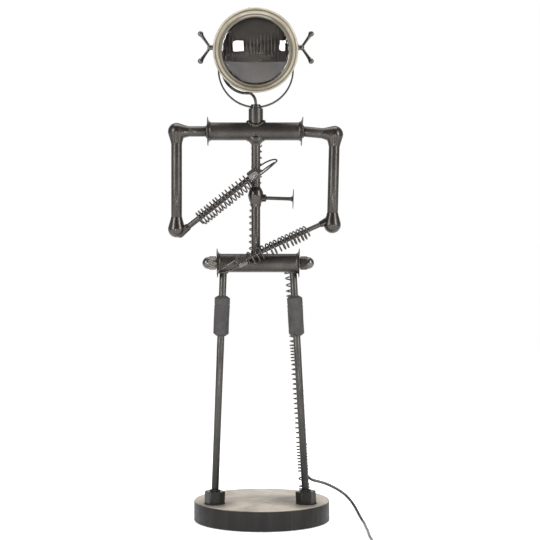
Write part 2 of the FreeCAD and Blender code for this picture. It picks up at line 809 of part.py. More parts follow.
def lamp_point(x, y, forward):
    turn = FreeCAD.Rotation(Vec(1, 0, 0), 90 + lamp_tilt)
    return turn.multVec(Vec(x, y, forward)) + Vec(column_x, figure_y, pivot_z)


def bowl_solid(inset):
    """The bowl's outside, or its inside where inset is the wall."""
    front = bowl_front_radius - inset
    return turned(
        (bowl_front, 0),
        (bowl_front, front),
        (bowl_front - 10, front),
        ((bowl_front - 12.5, 0.987 * front), (bowl_front - 16, 0.952 * front)),
        ((-bowl_middle_back, bowl_middle_share * front), (14 - bowl_back + inset / 2, 0.393 * front)),
        ((4 - bowl_back + inset, 0.24 * front), (-bowl_back + inset, 0.1 * front)),
        (-bowl_back + inset, 0),
    )


def make_bowl():
    outside, inside = bowl_solid(0), bowl_solid(bowl_wall)
    face = yoke_radius - strap_thickness - moving_gap - pivot_washer_height
    bosses = rod(Vec(-face, 0, 0), Vec(face, 0, 0), bowl_boss_radius)
    reach = face - pivot_screw_reach + 2
    clear = rod(Vec(-reach, 0, 0), Vec(reach, 0, 0), 2 * bowl_boss_radius)
    screw_hole = rod(Vec(-2 * face, 0, 0), Vec(2 * face, 0, 0), pivot_screw_radius + pivot_play)
    bowl = outside.fuse(bosses).cut(inside.cut(bosses)).cut(clear).cut(screw_hole)
    angle = math.radians(bowl_grommet_angle)
    outward = unit(Vec(math.cos(angle), math.sin(angle), -0.25))
    wall = bowl_middle_share * bowl_front_radius
    centre = Vec(math.cos(angle) * wall, math.sin(angle) * wall, -bowl_middle_back)
    hole_radius = flex_radius + grommet_wall - 1.5
    hole = rod(centre - outward * 12, centre + outward * 12, hole_radius)
    parts["lamp_bowl"] = in_lamp(bowl.cut(hole))
    seat = rod(centre - outward * 3, centre + outward * grommet_height, flex_radius + grommet_wall)
    bore = rod(centre - outward * 9, centre + outward * 9, flex_radius)
    parts["bowl_grommet"] = in_lamp(seat.cut(outside).fuse(rod(centre - outward * 6, centre + outward * 1, hole_radius)
                                                           ).cut(bore))
    washers = [
        ring(Vec(out * face, 0, 0), Vec(out * (face + pivot_washer_height), 0, 0), bowl_boss_radius,
             pivot_screw_radius + pivot_play)
        for out in SIDES.values()
    ]
    parts["pivot_washers"] = in_lamp(Part.makeCompound(washers))
    turn = FreeCAD.Rotation(Vec(1, 0, 0), 90 + lamp_tilt)
    return lamp_point(centre.x, centre.y, centre.z), turn.multVec(outward)


def make_rim():
    skirt, front = rim_skirt, bowl_front
    seat = lens_front + gasket_height
    rim = turned(
        (rim_back, bowl_front_radius),
        (rim_back, skirt),
        (front - 3.5, skirt),
        ((front - 0.4, rim_radius), (front + 2.5, skirt - 0.1)),
        (front + 2.0, skirt - 2.1),
        (front + 3.1, skirt - 3.6),
        (seat - 1.0, lens_radius + 3.1),
        (seat - 1.6, lens_radius + 2.2),
        (seat - 0.4, lens_radius + 1.3),
        (seat + 3.0, lens_radius - 1.1),
        ((seat + 3.5, lens_radius - 2.1), (seat + 2.6, rim_opening)),
        (seat, rim_opening),
        (seat, lens_radius),
        (bowl_front + 3.5, lens_radius),
        (bowl_front + 1.2, lens_radius + 5.0),
        (bowl_front, bowl_front_radius),
    )
    angle = math.radians(rim_screw_angle)
    outward = Vec(math.cos(angle), math.sin(angle), 0)
    middle = Vec(0, 0, (rim_back + front - 3.5) / 2)
    head_seat = middle + outward * skirt
    screw = rod(middle + outward * bowl_front_radius, head_seat + outward * 3.4, rim_screw_radius)
    slot = Part.makeBox(0.8, 8, 8, Vec(-0.4, -4, 0))
    slot = facing(slot, head_seat + outward * 2.4, outward)
    shank = rod(middle + outward * bowl_front_radius, head_seat + outward * 9, rim_screw_radius)
    parts["lamp_rim"] = in_lamp(rim.cut(shank))
    parts["rim_screw"] = in_lamp(screw.cut(slot))


def make_lens():
    back = lens_front - lens_thickness
    visible = rim_opening - 1.0
    crown = (visible**2 + lens_rise**2) / (2 * lens_rise)
    halfway = math.sqrt(crown**2 - visible**2 / 4) - (crown - lens_rise)
    blank = turned(
        (back, 0),
        (back, lens_radius),
        (lens_front, lens_radius),
        (lens_front, visible),
        ((lens_front + halfway, visible / 2), (lens_front + lens_rise, 0)),
    )
    reach = visible - 1.5
    pitch = 2 * reach / lens_flutes
    flute_width = pitch - lens_flute_land
    flute_radius = (flute_width**2 / 4 + lens_flute_depth**2) / (2 * lens_flute_depth)
    flutes = []
    for i in range(lens_flutes):
        x = (i + 0.5) * pitch - reach
        centre = Vec(x, 0, back + lens_flute_depth - flute_radius)
        half = math.sqrt(reach**2 - min(reach, abs(x) + pitch / 2 - 0.2) ** 2)
        if half > pitch:
            flutes.append(rod(centre - Vec(0, half, 0), centre + Vec(0, half, 0), flute_radius))
    parts["lens"] = in_lamp(blank.cut(Part.makeCompound(flutes)))
    gasket = turned(
        (lens_front, rim_opening),
        (lens_front, lens_radius),
        (lens_front + gasket_height, lens_radius),
        (lens_front + gasket_height, rim_opening),
    )
    parts["lens_gasket"] = in_lamp(gasket)
    flange_top = back
    flange_bottom = back - reflector_wall
    mouth = flange_top - 2.0
    steep = reflector_radius**2 / (mouth - reflector_back)
    hole = bulb_holder_radius
    hole_height = reflector_back + hole**2 / steep
    middle_radius = 0.6 * reflector_radius
    middle_height = reflector_back + middle_radius**2 / steep
    wall = reflector_wall
    reflector = turned(
        (hole_height, hole),
        ((middle_height, middle_radius), (mouth, reflector_radius)),
        (flange_top, reflector_radius + 0.6),
        (flange_top, lens_radius),
        (flange_bottom, lens_radius),
        (flange_bottom, reflector_radius + 2 * wall),
        (mouth - wall, reflector_radius + wall),
        ((middle_height - wall, middle_radius + wall / 2), (hole_height - 2 * wall, hole + wall)),
        (hole_height - 2 * wall, hole),
    )
    parts["reflector"] = in_lamp(reflector)
    holder_top = hole_height + 2.0
    cap_radius = 0.62 * hole
    socket_depth = 8.0
    holder = turned(
        (holder_top - bulb_holder_length, 0),
        (holder_top - bulb_holder_length, 0.8 * hole),
        (hole_height - 2 * wall - 6, hole),
        (hole_height - 2 * wall - 6, hole + 2.5),
        (hole_height - 2 * wall, hole + 2.5),
        (hole_height - 2 * wall, hole),
        (holder_top, hole),
        (holder_top, cap_radius),
        (holder_top - socket_depth, cap_radius),
        (holder_top - socket_depth, 0),
    )
    parts["bulb_holder"] = in_lamp(holder)
    tip = holder_top + bulb_length
    bulb = turned(
        (holder_top - socket_depth, 0),
        (holder_top - socket_depth, cap_radius),
        (holder_top + 1.0, cap_radius),
        ((tip - 1.9 * bulb_radius, 0.84 * bulb_radius), (tip - bulb_radius, bulb_radius)),
        ((tip - bulb_radius * (1 - math.sqrt(0.5)), bulb_radius * math.sqrt(0.5)), (tip, 0)),
    )
    parts["bulb"] = in_lamp(bulb)


def ball_ended(length, bar_radius, ball_radius):
    """A round bar along Z that ends in a ball centred at length."""
    ball_start = length - math.sqrt(ball_radius**2 - bar_radius**2)
    return turned(
        (0, 0),
        (0, bar_radius),
        (ball_start, bar_radius),
        ((length, ball_radius), (length + ball_radius, 0)),
    )


def make_clamp_screws():
    pivot = Vec(column_x, figure_y, pivot_z)
    face = yoke_radius + moving_gap
    inner = yoke_radius - strap_thickness - pivot_screw_reach
    neck_start = face + clamp_hex_length - 1
    hub_out = yoke_radius + clamp_hub_out
    neck = ball_ended(hub_out - neck_start, clamp_neck_radius, clamp_hub_radius)
    wing = ball_ended(clamp_wing_length, clamp_wing_radius, clamp_ball_radius)
    angle = math.radians(clamp_wing_angle)
    for side, out in SIDES.items():
        along = Vec(out, 0, 0)
        screw = rod(pivot + along * inner, pivot + along * (face + 1), pivot_screw_radius)
        screw = screw.fuse(facing(hex_bar(clamp_hex_flats, clamp_hex_length, 0.8), pivot + along * face, along))
        screw = screw.fuse(facing(neck, pivot + along * neck_start, along, spin=90))
        for rise in (1, -1):
            direction = Vec(out * math.cos(angle), 0, rise * math.sin(angle))
            screw = screw.fuse(facing(wing, pivot + along * hub_out, direction, spin=90))
        parts["clamp_screw_" + side] = screw


# Wiring that the figure holds: from the neck, out of the shoulders' back, down the spine and the right leg.
leg_lean = (76.9 - 53.8) / (437.0 - 80.0)
leg_lead_bottom = Vec(76.9, lead_y, 80.0)


def leg_lead(z):
    return leg_lead_bottom + Vec(-leg_lean, 0, 1) * (z - leg_lead_bottom.z)


def body_lead_points():
    bend = Vec(column_x, lead_y, shoulder_z - (lead_y - figure_y) * math.tan(math.radians(lead_exit_slope)))
    return [
        Vec(column_x, figure_y, nipple_top - 0.2),
        Vec(column_x, figure_y, shoulder_z),
        bend,
        Vec(-13.2, lead_y, waist_z),
        leg_lead(waist_z),
        leg_lead(mains_start_z),
    ]


mains_start_z = 106.0
body_lead_radii = [20.0, 20.0, 26.0, 26.0]


def make_body_lead():
    points = body_lead_points()
    parts["body_lead"], _ = flex("body_lead", points, body_lead_radii)


def make_loose_spring():
    """One unbroken wire wound round the lead, with its own pitch on each stretch of the route. One wide turn
    near the bottom lets the flex out."""
    below_end = 40.0
    points = body_lead_points()[1:-1] + [leg_lead(below_end)]
    edges, _ = route(points, body_lead_radii[1:])
    total = sum(edge.Length for edge in edges)
    start = edges[0].Length + edges[1].Length - loose_start_rise

    def on_route(distance):
        for edge in edges:
            if distance <= edge.Length:
                parameter = edge.getParameterByLength(distance)
                return edge.valueAt(parameter), edge.tangentAt(parameter)
            distance -= edge.Length

    exit_top = total - (loose_exit_z + loose_exit_gap / 2 - below_end) * math.hypot(1, leg_lean)
    leg_length = exit_top - start - loose_spine_length - loose_waist_length
    sections = [
        (loose_spine_length, loose_spine_turns),
        (loose_waist_length, loose_waist_turns),
        (leg_length * loose_thigh_share, loose_thigh_turns),
        (leg_length * (1 - loose_thigh_share), loose_shin_turns),
        (loose_exit_gap, 1),
        (loose_tail_length, loose_tail_turns),
    ]
    distances = [start]
    for length, turns in sections:
        halves = round(2 * turns)
        first = distances[-1]
        distances += [first + length * (i + 1) / halves for i in range(halves)]
    stations = []
    outward = Vec(1, 0, 0)
    last = len(distances) - 1
    for i, distance in enumerate(distances):
        place, tangent = on_route(distance)
        outward = unit(outward - tangent * outward.dot(tangent))
        before, after = max(0, i - 1), min(last, i + 1)
        rise = (distances[after] - distances[before]) / (math.pi * (after - before))
        heading = unit(tangent.cross(outward) * loose_coil_radius + tangent * rise)
        stations.append((place + outward * loose_coil_radius, heading))
        outward = outward * -1
    (top, setting_out), (bottom, leaving) = stations[0], stations[-1]
    straight = 2 * loose_wire_radius
    edges = [Part.LineSegment(top - setting_out * straight, top).toShape()]
    edges += through(stations)
    edges.append(Part.LineSegment(bottom, bottom + leaving * straight).toShape())
    parts["lead_spring"] = wound("lead_spring", edges, loose_wire_radius, 1.6 * math.pi * loose_coil_radius)
    print(f"  {sum(turns for _, turns in sections)} curls, from z {stations[0][0].z:.1f} to {bottom.z:.1f}")


def make_head_lead(exit_point, outward):
    """From the bowl's grommet in a bow inside the yoke, down to just over the hollow pivot. The bow draws in
    from the yoke and comes forward to the figure's own plane as it goes."""
    end = Vec(column_x, figure_y, nipple_top + moving_gap)
    centre = Vec(column_x, figure_y, pad_bottom + yoke_radius)
    points = [exit_point + outward * 1.0, exit_point + outward * 12.0]
    for i in range(bow_steps + 1):
        share = i / bow_steps
        angle = math.radians(bow_start_angle + bow_sweep * share)
        reach = yoke_radius - bow_start_inside - bow_draw_in * share**1.3
        back = bow_start_back * (1 - share) ** 2
        points.append(centre + Vec(reach * math.cos(angle), back, reach * math.sin(angle)))
    points += [end + UP * 9.0, end]
    parts["head_lead"], _ = flex("head_lead", points)


# Flex outside the figure: it leaves behind the right leg, drops to the table, and is put away in a coil.
def make_free_flex():
    half_rise = coil_turn_pitch * coil_layer_turns / 2
    outer = coil_middle_radius + half_rise
    layer_z = flex_radius + coil_tie_thickness
    coil_start = coil_centre + Vec(outer, 0, layer_z)
    entry = coil_start + Vec(0, 2 * flex_radius, 0)
    down_leg = leg_lead(0) - leg_lead(1)
    start = leg_lead(mains_start_z)
    table = flex_radius
    points = [
        start,
        start + down_leg * 12.0,
        Vec(80.6, -17.2, 82.2),
        Vec(88.7, -14.2, 74.4),
        Vec(100.6, -10.2, 71.0),
        Vec(116.0, -6.0, 66.2),
        Vec(133.5, -3.0, 57.2),
        Vec(151.0, -1.8, 45.6),
        Vec(164.6, -5.6, 29.6),
        Vec(173.4, -14.2, 13.4),
        Vec(179.3, -28.0, 3.9),
        Vec(182.0, -48.0, table),
        Vec(181.9, -78.0, table),
        Vec(183.6, -118.0, table),
        Vec(182.8, -158.0, table),
        Vec(185.6, -198.0, table),
        Vec(183.6, -230.0, table),
        Vec(entry.x, -256.0, layer_z),
        entry,
    ]
    parts["mains_cord"], route_length = flex("mains_cord", points)

    stations = []

    def add(turn, radius, height, inward, climb):
        angle = -2 * math.pi * turn
        outward = Vec(math.cos(angle), math.sin(angle), 0)
        around = Vec(math.sin(angle), -math.cos(angle), 0)
        heading = around * (2 * math.pi * radius) - outward * inward + UP * climb
        stations.append((coil_centre + outward * radius + UP * height, unit(heading)))

    pitch = coil_turn_pitch
    steps = 7
    for i in range(steps + 1):
        turn = coil_layer_turns * i / steps
        add(turn, outer - pitch * turn, layer_z, pitch if 0 < i else 0, 0)
    inner = outer - pitch * coil_layer_turns
    upper = layer_z + pitch
    for i in range(steps + 1):
        turn = coil_layer_turns * i / steps
        add(coil_layer_turns + 0.5 + turn, inner + pitch * turn, upper, -pitch if i < steps else 0, 0)
    last, leaving = stations[-1]
    edges = [Part.LineSegment(entry, coil_start).toShape()]
    edges += through(stations)
    edges.append(Part.LineSegment(last, last + leaving * 2 * flex_radius).toShape())
    parts["cord_coil"] = wound("cord_coil", edges, flex_radius, 1.5 * math.pi * inner)
    coil_length = sum(edge.Length for edge in edges)

    plug_z = plug_height / 2
    leave = last + leaving * 2 * flex_radius
    relief_x = leave.x - 44.0
    points = [
        leave,
        leave + Vec(-13.0, 0, 0),
        Vec(leave.x - 30.0, leave.y - 2.6, plug_z),
        Vec(relief_x, leave.y - 2.6, plug_z),
    ]
    parts["plug_flex"], tail_length = flex("plug_flex", points)
    make_plug(points[-1])
    make_tie(outer, inner, layer_z, upper)
    return route_length, coil_length, tail_length


def make_tie(outer, inner, lower, upper):
    """Bands of tape round the turns, on opposite sides of the coil, which it lies on."""
    low, high = lower - flex_radius, upper + flex_radius
    near, far = inner - flex_radius - 0.6, outer + flex_radius + 0.6
    skin = coil_tie_thickness
    bands = []
    for out in SIDES.values():
        turn = FreeCAD.Rotation(UP, 50 if out > 0 else 230)
        outside = Part.makeBox(far - near + 2 * skin, coil_tie_width, high - low + 2 * skin,
                               Vec(near - skin, -coil_tie_width / 2, low - skin))
        opening = Part.makeBox(far - near, coil_tie_width, high - low, Vec(near, -coil_tie_width / 2, low))
        band = outside.cut(opening)
        band.Placement = FreeCAD.Placement(coil_centre, turn)
        bands.append(band)
    parts["coil_ties"] = Part.makeCompound(bands)


def make_plug(entry):
    """A flat moulded plug with its relief towards +X and its two round pins towards -X."""
    back = Vec(-1, 0, 0)
    body_start = entry + back * plug_relief_length

    def section(distance, width, height, corner):
        half_w, half_h = width / 2 - corner, height / 2 - corner
        x = body_start.x - distance
        turn = corner * math.sqrt(0.5)

        def at(y, z):
            return Vec(x, body_start.y + y, body_start.z + z)

        edges = []
        corners = [(1, 1), (-1, 1), (-1, -1), (1, -1)]
        for i, (sy, sz) in enumerate(corners):
            a = at(sy * (half_w + corner), sz * half_h)
            b = at(sy * half_w, sz * (half_h + corner))
            middle = at(sy * (half_w + turn), sz * (half_h + turn))
            if i % 2 == 1:
                a, b = b, a
            edges.append(Part.Arc(a, middle, b).toShape())
            sy2, sz2 = corners[(i + 1) % 4]
            if i % 2 == 0:
                c = at(sy2 * half_w, sz2 * (half_h + corner))
            else:
                c = at(sy2 * (half_w + corner), sz2 * half_h)
            edges.append(Part.LineSegment(b, c).toShape())
        return Part.Wire(edges)

    corner = 4.0
    shoulder = 0.4 * plug_length
    body = Part.makeLoft(
        [
            section(0, plug_nose_width, plug_nose_height, corner),
            section(shoulder, plug_width, plug_height, corner),
            section(plug_length, plug_width, plug_height, corner),
        ],
        True,
        True,
    )
    relief = cone(body_start, entry, plug_relief_radius, flex_radius + 0.9)
    face = body_start + back * plug_length
    pins = []
    for y in (-plug_pin_spacing / 2, plug_pin_spacing / 2):
        foot = face + Vec(6.0, y, 0)
        tip = face + Vec(-plug_pin_length, y, 0)
        pin = rod(foot, tip, plug_pin_radius)
        pins.append(pin)
    parts["plug_body"] = body.fuse(relief).removeSplitter().cut(Part.makeCompound(pins))
    parts["plug_pins"] = Part.makeCompound(pins)


make_base()
make_legs()
make_waist()
make_spine()
make_arms()
make_shoulders_and_neck()
make_yoke()
bowl_exit, bowl_exit_heading = make_bowl()
make_rim()
make_lens()
make_clamp_screws()
make_body_lead()
make_loose_spring()
make_head_lead(bowl_exit, bowl_exit_heading)
lengths = make_free_flex()
print(f"free flex: {' + '.join(f'{length:.0f}' for length in lengths)} = {sum(lengths):.0f} mm")

os.makedirs("parts", exist_ok=True)
for name, shape in parts.items():
    solids = len(shape.Solids)
    if not shape.isValid() or not solids or shape.Volume <= 0:
        print(f"FAULT {name}: valid {shape.isValid()}, {solids} solids, volume {shape.Volume:.1f}")
    shape.exportStep(f"parts/{name}.step")
print(f"{len(parts)} nodes")
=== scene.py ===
import math

import bmesh
import bpy
import numpy as np
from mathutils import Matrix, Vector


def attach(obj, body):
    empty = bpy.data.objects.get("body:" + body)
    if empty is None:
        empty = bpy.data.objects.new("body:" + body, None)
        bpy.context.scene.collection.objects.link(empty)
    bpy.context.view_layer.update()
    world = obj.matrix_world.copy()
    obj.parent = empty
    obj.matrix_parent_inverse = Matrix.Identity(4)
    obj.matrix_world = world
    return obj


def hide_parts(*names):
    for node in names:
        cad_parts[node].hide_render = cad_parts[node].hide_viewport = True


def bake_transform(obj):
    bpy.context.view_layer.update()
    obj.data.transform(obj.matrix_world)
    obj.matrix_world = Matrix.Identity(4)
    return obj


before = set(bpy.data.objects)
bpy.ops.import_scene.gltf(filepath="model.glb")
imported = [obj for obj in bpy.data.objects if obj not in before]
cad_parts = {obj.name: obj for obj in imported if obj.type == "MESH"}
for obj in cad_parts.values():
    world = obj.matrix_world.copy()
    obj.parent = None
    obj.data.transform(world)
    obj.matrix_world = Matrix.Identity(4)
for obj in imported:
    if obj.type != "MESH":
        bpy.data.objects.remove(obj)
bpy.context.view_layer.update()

# Where things stand, in millimetres: +Z up, the figure faces -Y, the origin is under the middle of the base.
MM = 0.001
FIGURE_Y = -45.0
COLUMN_X = -10.3
WAIST_Z = 462.8
SHOULDER_Z = 695.8
PIVOT_Z = 844.2
BASE_TOP = 37.0
FLEX = 2.5
SIDES = {"left": -1, "right": 1}


def vec(*values):
    return np.array(values, float)


def unit(vector):
    return vector / np.linalg.norm(vector)


def column(z):
    """The place at a height on the line through the spine, the neck and the headlamp's pivots."""
    return vec(COLUMN_X, FIGURE_Y, z)


# Camera: level, at the height of the figure's waist, with its picture shifted down a little. Its place and
# its focal length are the ones that the figure's outlines ask for.
CAMERA_PLACE = vec(14.8, -2714.0, 500.0)
PIXELS_WIDE = 540.0
FOCAL_PIXELS = 1508.0
HORIZON_PIXEL = 242.0

camera_data = bpy.data.cameras.new("camera")
camera_data.sensor_width = 36.0
camera_data.lens = FOCAL_PIXELS / PIXELS_WIDE * camera_data.sensor_width
camera_data.shift_y = (HORIZON_PIXEL - PIXELS_WIDE / 2) / PIXELS_WIDE
camera_data.clip_end = 50.0
camera = bpy.data.objects.new("camera", camera_data)
camera.location = CAMERA_PLACE * MM
camera.rotation_euler = (math.pi / 2, 0, 0)
bpy.context.collection.objects.link(camera)
bpy.context.scene.camera = camera


# Materials: each look is a tree of nodes that reads a piece's own place in metres. The surround behind the
# studio is made with the same helpers.
class Nodes:
    """A node tree in the making. Each method adds a node and returns its output."""

    def __init__(self, owner):
        owner.use_nodes = True
        self.nodes = owner.node_tree.nodes
        self.links = owner.node_tree.links

    def feed(self, socket, value):
        if isinstance(value, bpy.types.NodeSocket):
            self.links.new(value, socket)
        else:
            socket.default_value = value

    def node(self, kind, output=0, **values):
        made = self.nodes.new(kind)
        for key, value in values.items():
            if key in made.bl_rna.properties:
                setattr(made, key, value)
            else:
                self.feed(made.inputs[key.replace("_", " ")], value)
        return made.outputs[output]

    def ramp(self, value, *stops):
        """Values and colours between stops of (place, value or colour)."""
        made = self.nodes.new("ShaderNodeValToRGB")
        elements = made.color_ramp.elements
        while len(elements) < len(stops):
            elements.new(0.5)
        for element, (where, shade) in zip(elements, stops):
            element.position = where
            element.color = (*shade, 1) if isinstance(shade, tuple) else (shade, shade, shade, 1)
        self.links.new(value, made.inputs["Fac"])
        return made.outputs["Color"]

    def mix(self, share, first, second, blend_type="MIX"):
        made = self.nodes.new("ShaderNodeMix")
        made.data_type = "RGBA"
        made.blend_type = blend_type
        self.feed(made.inputs[0], share)
        for socket, colour in ((made.inputs[6], first), (made.inputs[7], second)):
            self.feed(socket, (*colour, 1) if isinstance(colour, tuple) else colour)
        return made.outputs[2]

    def maths(self, operation, first, second, clamp=False):
        made = self.nodes.new("ShaderNodeMath")
        made.operation = operation
        made.use_clamp = clamp
        self.feed(made.inputs[0], first)
        self.feed(made.inputs[1], second)
        return made.outputs[0]

    def rays(self, *kinds):
        """One for rays of the kinds that are named and nothing for any other."""
        path = self.nodes.new("ShaderNodeLightPath")
        total = path.outputs[kinds[0]]
        for kind in kinds[1:]:
            total = self.maths("ADD", total, path.outputs[kind], clamp=True)
        return total


class Look(Nodes):
    """The material of a piece."""

    def __init__(self, name):
        self.material = bpy.data.materials.new(name)
        super().__init__(self.material)
        self.shader = self.nodes["Principled BSDF"]
        self.place = self.nodes.new("ShaderNodeTexCoord").outputs["Object"]

    def noise(self, scale, detail=3.0, roughness=0.55, stretch=(1, 1, 1), distortion=0.0):
        """Noise with features of about 1/scale metres, stretched along the shared frame's axes."""
        spread = self.node("ShaderNodeMapping", Vector=self.place, Scale=stretch)
        return self.node("ShaderNodeTexNoise", Vector=spread, Scale=scale, Detail=detail,
                         Roughness=roughness, Distortion=distortion)

    def attribute(self, name):
        return self.node("ShaderNodeAttribute", output=2, attribute_name=name)

    def height_above_table(self):
        return self.node("ShaderNodeSeparateXYZ", output=2, Vector=self.place)

    def near(self, place, reach):
        """One at a place in metres, falling to nothing at that reach."""
        made = self.nodes.new("ShaderNodeVectorMath")
        made.operation = "DISTANCE"
        self.links.new(self.place, made.inputs[0])
        made.inputs[1].default_value = place
        return self.ramp(self.maths("DIVIDE", made.outputs["Value"], reach), (0.35, 1.0), (1.0, 0.0))

    def height(self, *layers):
        """Stacks bumps of (height, depth in metres) into one normal."""
        normal = None
        for height, depth in layers:
            made = self.nodes.new("ShaderNodeBump")
            made.inputs["Distance"].default_value = depth
            self.links.new(height, made.inputs["Height"])
            if normal:
                self.links.new(normal, made.inputs["Normal"])
            normal = made.outputs["Normal"]
        self.links.new(normal, self.shader.inputs["Normal"])

    def finish(self, **values):
        for key, value in values.items():
            if isinstance(value, tuple) and len(value) == 3:
                value = (*value, 1)
            self.feed(self.shader.inputs[key.replace("_", " ")], value)
        return self.material


# Shapes: a piece's points are a profile turned round an axis, a round wire along a line or rows of their
# own. They are given in millimetres, and a profile's points are (along the axis, out from it).
def full_turn(count):
    """So many even steps round a circle."""
    return np.linspace(0, 2 * math.pi, count, endpoint=False)


def grid_faces(rows, columns, closed=False):
    """Quads between neighbouring rows of points. Each row goes round; closed rows come back to the first."""
    row, column = np.meshgrid(np.arange(rows if closed else rows - 1), np.arange(columns), indexing="ij")
    after, beside = (row + 1) % rows, (column + 1) % columns
    here, there = row * columns, after * columns
    return list(np.stack([here + column, here + beside, there + beside, there + column], -1).reshape(-1, 4))


def capped_faces(rows, columns):
    """The same with a cap on the first row and one on the last."""
    return grid_faces(rows, columns) + [range(columns), range((rows - 1) * columns, rows * columns)]


def piece(name, points, faces, look, node=None, slot=None, body="figure", crease=40.0, tones=None):
    """A mesh object: seams closed, faces outwards, smooth up to the crease angle, in place of a node."""
    mesh = bpy.data.meshes.new(name)
    corners = [list(map(int, face)) for face in faces]
    mesh.from_pydata((np.reshape(points, (-1, 3)) * MM).tolist(), [], corners)
    if tones is not None:
        shades = mesh.attributes.new("tone", "FLOAT", "POINT")
        shades.data.foreach_set("value", np.ravel(tones).astype(np.float32))
    work = bmesh.new()
    work.from_mesh(mesh)
    bmesh.ops.remove_doubles(work, verts=work.verts, dist=2e-6)
    bmesh.ops.recalc_face_normals(work, faces=work.faces)
    work.to_mesh(mesh)
    work.free()
    mesh.shade_smooth()
    mesh.set_sharp_from_angle(angle=math.radians(crease))
    mesh.materials.append(look)
    made = bpy.data.objects.new(name, mesh)
    bpy.context.collection.objects.link(made)
    if body:
        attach(made, body)
    if node:
        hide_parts(node)
    return made


def rounded(*corners, steps=5):
    """A profile of (along, out, fillet) corners with each corner's fillet as an arc."""
    points = [vec(*corner[:2]) for corner in corners]
    line = []
    for index, corner in enumerate(corners):
        fillet = corner[2] if len(corner) > 2 else 0
        here = points[index]
        if not fillet or index in (0, len(corners) - 1):
            line.append(here)
            continue
        back, on = unit(points[index - 1] - here), unit(points[index + 1] - here)
        half = math.acos(max(-1.0, min(1.0, back @ on))) / 2
        centre = here + unit(back + on) * fillet / math.sin(half)
        first = here + back * fillet / math.tan(half) - centre
        last = here + on * fillet / math.tan(half) - centre
        swing = math.pi - 2 * half
        for share in np.linspace(0, 1, steps + 1):
            line.append(centre + (first * math.sin((1 - share) * swing) + last * math.sin(share * swing))
                        / math.sin(swing))
    return np.array(line)


def ball_outline(along, radius, first, last, count):
    """A ball's outline between two angles, which are zero where the ball is widest."""
    return [(along + radius * math.sin(t), radius * math.cos(t)) for t in np.linspace(first, last, count)]


def axes(heading, side=None):
    """Two directions square to a heading and to each other, the first near side."""
    side = vec(0, -1, 0) if side is None else side
    if abs(unit(side) @ heading) > 0.95:
        side = vec(1, 0, 0)
    side = unit(side - heading * (side @ heading))
    return side, np.cross(heading, side)


def spun(angle, side, across):
    """Directions turned by each angle from side towards across."""
    return np.cos(angle) * side + np.sin(angle) * across


def turned(profile, foot, heading, around=72, side=None):
    """A row of points round the axis, from the foot along the heading, for each point of the profile."""
    heading = unit(heading)
    along, out = np.array(profile, float).T[..., None, None]
    return foot + along * heading + out * spun(full_turn(around)[:, None], *axes(heading, side))


def lathe(name, profile, foot, heading, look, node=None, slot=None, ring=False, around=72, **more):
    """A turned piece. A ring's profile closes on itself; any other ends on the axis or is capped."""
    last = len(profile) - 1
    faces = grid_faces(last + 1, around, closed=ring)
    if not ring:
        faces += [range(row * around, (row + 1) * around) for row in (0, last) if profile[row][1] > 1e-6]
    return piece(name, turned(profile, foot, heading, around), faces, look, node, slot, **more)


def turned_shape(profile, foot, heading, around=72):
    return turned(profile, foot, heading, around).reshape(-1, 3), grid_faces(len(profile), around)


def merged(*shapes):
    """Several (points, faces) as one."""
    points, faces, count = [], [], 0
    for more_points, more_faces in shapes:
        points.append(more_points)
        faces += [[index + count for index in face] for face in more_faces]
        count += len(more_points)
    return np.concatenate(points), faces


def curve_line(name, points, radius=0.0):
    """An open spline with the points as its control points, as thick as the radius says."""
    data = bpy.data.curves.new(name, "CURVE")
    data.dimensions = "3D"
    spline = data.splines.new("NURBS")
    spline.points.add(len(points) - 1)
    flat = np.concatenate([np.array(points) * MM, np.ones((len(points), 1))], 1)
    spline.points.foreach_set("co", flat.ravel())
    spline.order_u = 3
    spline.use_endpoint_u = True
    spline.resolution_u = 8
    data.bevel_depth = radius * MM
    data.bevel_resolution = 6
    data.use_fill_caps = radius > 0
    line = bpy.data.objects.new(name, data)
    bpy.context.collection.objects.link(line)
    return line


def line_points(name, points):
    """The points of the smooth spline that has these control points."""
    line = curve_line(name, points)
    mesh = bpy.data.meshes.new_from_object(line)
    flat = np.empty(len(mesh.vertices) * 3)
    mesh.vertices.foreach_get("co", flat)
    bpy.data.objects.remove(line)
    bpy.data.meshes.remove(mesh)
    return flat.reshape(-1, 3) / MM


def frames_along(line, side=None):
    """Two directions square to a line at each of its points, carried along without twist."""
    heading = np.gradient(line, axis=0)
    heading /= np.linalg.norm(heading, axis=1)[:, None]
    sides = [axes(heading[0], side)[0]]
    for here in heading[1:]:
        sides.append(unit(sides[-1] - here * (sides[-1] @ here)))
    return np.array(sides), np.cross(heading, sides)


def swept(name, line, radius, look, node=None, slot=None, around=14, closed=False, **more):
    """A round tube along a line, whose radius may be one per point."""
    side, across = frames_along(line)
    out = np.broadcast_to(np.asarray(radius, float), (len(line),))[:, None, None]
    points = line[:, None] + out * spun(full_turn(around)[:, None], side[:, None], across[:, None])
    faces = grid_faces(len(line), around, closed) if closed else capped_faces(len(line), around)
    return piece(name, points, faces, look, node, slot, **more)


def oblong(half_wide, half_high, corner, count=48):
    """Points round a rounded oblong: a circle of the corner's size pushed out to the four corners."""
    angle = full_turn(count) + math.pi / count
    return np.stack([np.sign(np.cos(angle)) * (half_wide - corner) + corner * np.cos(angle),
                     np.sign(np.sin(angle)) * (half_high - corner) + corner * np.sin(angle)], -1)


def hexagon(angle, flats):
    """How far out the sides of a hexagon are at each angle."""
    sixth = math.pi / 3
    return flats / 2 / np.cos(angle % sixth - sixth / 2)


